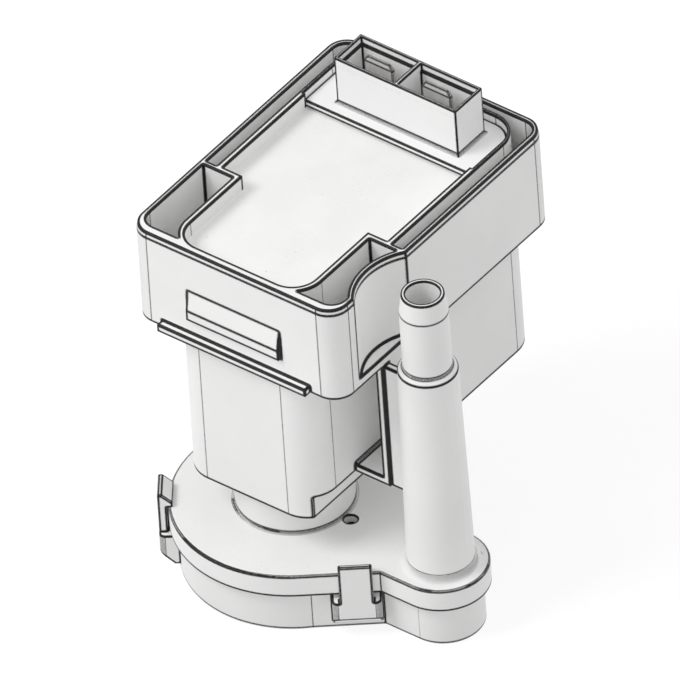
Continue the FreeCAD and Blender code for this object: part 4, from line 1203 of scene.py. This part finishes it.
@dataclass
class PumpBody(SubAssembly):
    """The pump head and its clipped bowl, with the broken-off gate of the head's mould."""

    cover_top: float = 13.15 * MM
    gate_place: tuple[float, float] = (-8.0 * MM, 16.5 * MM)
    gate_radius: float = 1.6 * MM
    gate_sides: int = 36
    ring_depth: float = 0.16 * MM
    ring_width: float = 0.2 * MM
    ring_dip: float = 0.05 * MM
    stub_radius: float = 0.5 * MM
    stub_height: float = 0.22 * MM
    stub_taper: float = 0.7
    gate_round: float = 0.03 * MM

    def build_gate_mark(self) -> Piece:
        """Models the gate's ring and its stub on the back of the cover.

        Returns:
            The gate mark.
        """
        x, y = self.gate_place
        deselect_everything()
        bpy.ops.mesh.primitive_cylinder_add(
            vertices=self.gate_sides, radius=self.gate_radius, depth=self.ring_depth,
            location=(x, y, self.cover_top),
        )
        mark = bpy.context.active_object
        mark.name = "gate_mark"
        with editing(mark):
            select("FACE", faces_up)
            bpy.ops.mesh.inset(thickness=self.ring_width)
            bpy.ops.transform.translate(value=(0.0, 0.0, -self.ring_dip))
            bpy.ops.mesh.inset(thickness=self.gate_radius - self.ring_width - self.stub_radius)
            extrude(self.stub_height)
            bpy.ops.transform.resize(
                value=(self.stub_taper, self.stub_taper, 1.0),
                center_override=(x, y, self.cover_top),
            )
        soften(mark, self.gate_round)
        settle(mark)
        return mark

    def build(self) -> None:
        """Builds the gate mark and dresses head, bowl and gasket."""
        self.dress_nodes({
            "pump_head": "head_plastic",
            "pump_bowl": "bowl_plastic",
            "cover_gasket": "seal_rubber",
        })
        self.wardrobe.hand_over(
            self.build_gate_mark(), "housing", "head_plastic", finish="head_witness",
        )


@dataclass
class StatorPack(SubAssembly):
    """The iron and the coils, buried in the resin."""

    def build(self) -> None:
        """Dresses iron, bobbins, windings and leads."""
        self.dress_nodes({"stator_core": "lamination_steel", "core_yoke": "lamination_steel"})
        for side in ("left", "right"):
            self.dress_nodes({
                f"coil_bobbin_{side}": "bobbin_plastic",
                f"winding_{side}": "copper_wire",
                f"coil_lead_{side}": "copper_wire",
            })


@dataclass
class RotorAndBearings(SubAssembly):
    """The rotor in its wet can, and the bearings that carry it."""

    def build(self) -> None:
        """Dresses bearings, carrier and rotor."""
        self.dress_nodes({
            "upper_bearing": "bearing_bronze",
            "upper_bearing_mount": "seal_rubber",
            "lower_bearing": "bearing_bronze",
            "bearing_carrier": "carrier_plastic",
            "carrier_seal": "seal_rubber",
            "rotor_shaft": "shaft_steel",
            "rotor_magnet": "ferrite",
            "rotor_hub": "carrier_plastic",
            "thrust_washer_upper": "washer_plastic",
            "thrust_washer_lower": "washer_plastic",
            "drive_dog": "carrier_plastic",
            "impeller_clip": "shaft_steel",
        })


@dataclass
class ImpellerWheel(SubAssembly):
    """The impeller, which its drive turns once the dog has taken up its free play."""

    def build(self) -> None:
        """Dresses the impeller."""
        self.dress_nodes({"impeller": "impeller_plastic"})


# Studio


@dataclass(frozen=True)
class DrawingCamera:
    """The parallel view from above the front right corner that the picture was drawn in."""

    right: Point = (0.7961, 0.6028, -0.0537)
    down: Point = (0.3567, -0.5390, -0.7630)
    target: Point = (-7.504 * MM, 23.967 * MM, 27.585 * MM)
    view_width: float = PICTURE_WIDTH / PIXELS_PER_MM * MM
    distance: float = 0.5
    nearest: float = 0.01
    furthest: float = 6.0

    def build(self) -> None:
        """Places the camera and makes it the scene's own."""
        lens = bpy.data.cameras.new("drawing_camera")
        lens.type = "ORTHO"
        lens.ortho_scale = self.view_width
        lens.clip_start = self.nearest
        lens.clip_end = self.furthest
        across = Vector(self.right).normalized()
        back = -across.cross(Vector(self.down)).normalized()
        up = back.cross(across)
        camera = bpy.data.objects.new("drawing_camera", lens)
        turn = Matrix((across, up, back)).transposed().to_4x4()
        camera.matrix_world = Matrix.Translation(Vector(self.target) + back * self.distance) @ turn
        bpy.context.scene.collection.objects.link(camera)
        bpy.context.scene.camera = camera


@dataclass(frozen=True)
class SoftBox:
    """A square soft light that looks at the pump's middle."""

    name: str
    place: Point
    size: float
    power: float
    aim: Point = (0.0, 15.0 * MM, 40.0 * MM)

    def build(self) -> None:
        """Places the light."""
        lamp = bpy.data.lights.new(self.name, "AREA")
        lamp.shape = "SQUARE"
        lamp.size = self.size
        lamp.energy = self.power
        light = bpy.data.objects.new(self.name, lamp)
        light.location = self.place
        toward = Vector(self.aim) - Vector(self.place)
        light.rotation_mode = "QUATERNION"
        light.rotation_quaternion = toward.to_track_quat("-Z", "Y")
        bpy.context.scene.collection.objects.link(light)


@dataclass(frozen=True)
class Studio:
    """A white sweep of floor and sky, with soft light from above on the left."""

    sky: float = 0.66
    floor_size: float = 3.0
    floor_drop: float = 0.02 * MM
    underside_reach: float = 14.0 * MM
    floor_bounce: float = 0.75
    floor_seen: float = 0.30
    floor_glow: float = 0.75
    boxes: tuple[SoftBox, ...] = (
        SoftBox("key_box", (-0.45, -0.60, 0.95), 0.55, 6.6),
        SoftBox("back_box", (0.35, 0.85, 0.75), 0.60, 1.4),
    )

    def build_sky(self) -> None:
        """Lights the scene evenly, and shows the sky as plain white."""
        world = bpy.data.worlds.new("white_sky")
        bpy.context.scene.world = world
        world.use_nodes = True
        tree = world.node_tree
        tree.nodes.clear()
        seen = self.looked_at(tree, add_node(tree, "ShaderNodeLightPath"))
        lighting = self.white(tree, "ShaderNodeBackground", self.sky)
        showing = self.white(tree, "ShaderNodeBackground", 1.0)
        output = add_node(tree, "ShaderNodeOutputWorld")
        feed(tree, output.inputs["Surface"], mix_shaders(tree, seen, lighting, showing))

    @staticmethod
    def white(tree: Tree, kind: str, strength: float) -> Socket:
        """Adds a white source of light.

        Args:
            tree: The tree that takes the node.
            kind: The node's type, an emission or a background.
            strength: The light's strength, where 1 is white.

        Returns:
            The source's socket.
        """
        source = add_node(tree, kind)
        source.inputs["Color"].default_value = grey(1.0)
        source.inputs["Strength"].default_value = strength
        return source.outputs[0]

    @staticmethod
    def matt(tree: Tree, level: float) -> Socket:
        """Adds a matt grey surface.

        Args:
            tree: The tree that takes the node.
            level: How bright the surface is, where 1 is white.

        Returns:
            The surface's socket.
        """
        surface = add_node(tree, "ShaderNodeBsdfDiffuse")
        surface.inputs["Color"].default_value = grey(level)
        return surface.outputs[0]

    @staticmethod
    def looked_at(tree: Tree, path: Node) -> Socket:
        """Tells a ray that is seen or mirrored from one that lights.

        Args:
            tree: The tree of the path's node.
            path: A Light Path node.

        Returns:
            The socket of a value that is 1 for a seen or mirrored ray.
        """
        mirrored = arithmetic(
            tree, "MAXIMUM", path.outputs["Is Glossy Ray"], path.outputs["Is Transmission Ray"],
        )
        return arithmetic(tree, "MAXIMUM", path.outputs["Is Camera Ray"], mirrored)

    def build_floor(self) -> None:
        """Lays the white floor, which shows the pump's shadow.

        It is clear from below, and to the rays that start just above it, so that the pump's
        underside is lit as if it were lifted off.
        """
        deselect_everything()
        bpy.ops.mesh.primitive_plane_add(
            size=self.floor_size, location=(0.0, 0.0, -self.floor_drop),
        )
        floor = bpy.context.active_object
        floor.name = "floor"
        material = bpy.data.materials.new("white_floor")
        material.use_nodes = True
        tree = material.node_tree
        tree.nodes.clear()
        path = add_node(tree, "ShaderNodeLightPath")
        bounce = self.matt(tree, self.floor_bounce)
        lit = add_node(tree, "ShaderNodeAddShader")
        feed(tree, lit.inputs[0], self.matt(tree, self.floor_seen))
        feed(tree, lit.inputs[1], self.white(tree, "ShaderNodeEmission", self.floor_glow))
        shown = mix_shaders(tree, self.looked_at(tree, path), bounce, lit.outputs[0])
        surface = add_node(tree, "ShaderNodeNewGeometry")
        clear = add_node(tree, "ShaderNodeBsdfTransparent")
        near = arithmetic(tree, "LESS_THAN", path.outputs["Ray Length"], self.underside_reach)
        passed = arithmetic(tree, "MAXIMUM", surface.outputs["Backfacing"], near)
        output = add_node(tree, "ShaderNodeOutputMaterial")
        feed(tree, output.inputs["Surface"], mix_shaders(tree, passed, shown, clear.outputs[0]))
        floor.data.materials.append(material)

    def build(self) -> None:
        """Builds sky, floor and lights."""
        bpy.context.scene.view_settings.view_transform = "Standard"
        self.build_sky()
        self.build_floor()
        for box in self.boxes:
            box.build()


def main() -> None:
    """Builds the pump's looks, class by class, and reports each piece."""
    logging.basicConfig(level=logging.INFO, format="%(name)s: %(message)s")
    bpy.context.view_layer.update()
    DrawingCamera().build()
    Studio().build()
    wardrobe = Wardrobe()
    for assembly in (
        MotorHousing(wardrobe), PottedCase(wardrobe), Connector(wardrobe), PumpBody(wardrobe),
        StatorPack(wardrobe), RotorAndBearings(wardrobe), ImpellerWheel(wardrobe),
    ):
        LOG.info("building %s", type(assembly).__name__)
        assembly.build()


if __name__ == "__main__":
    main()
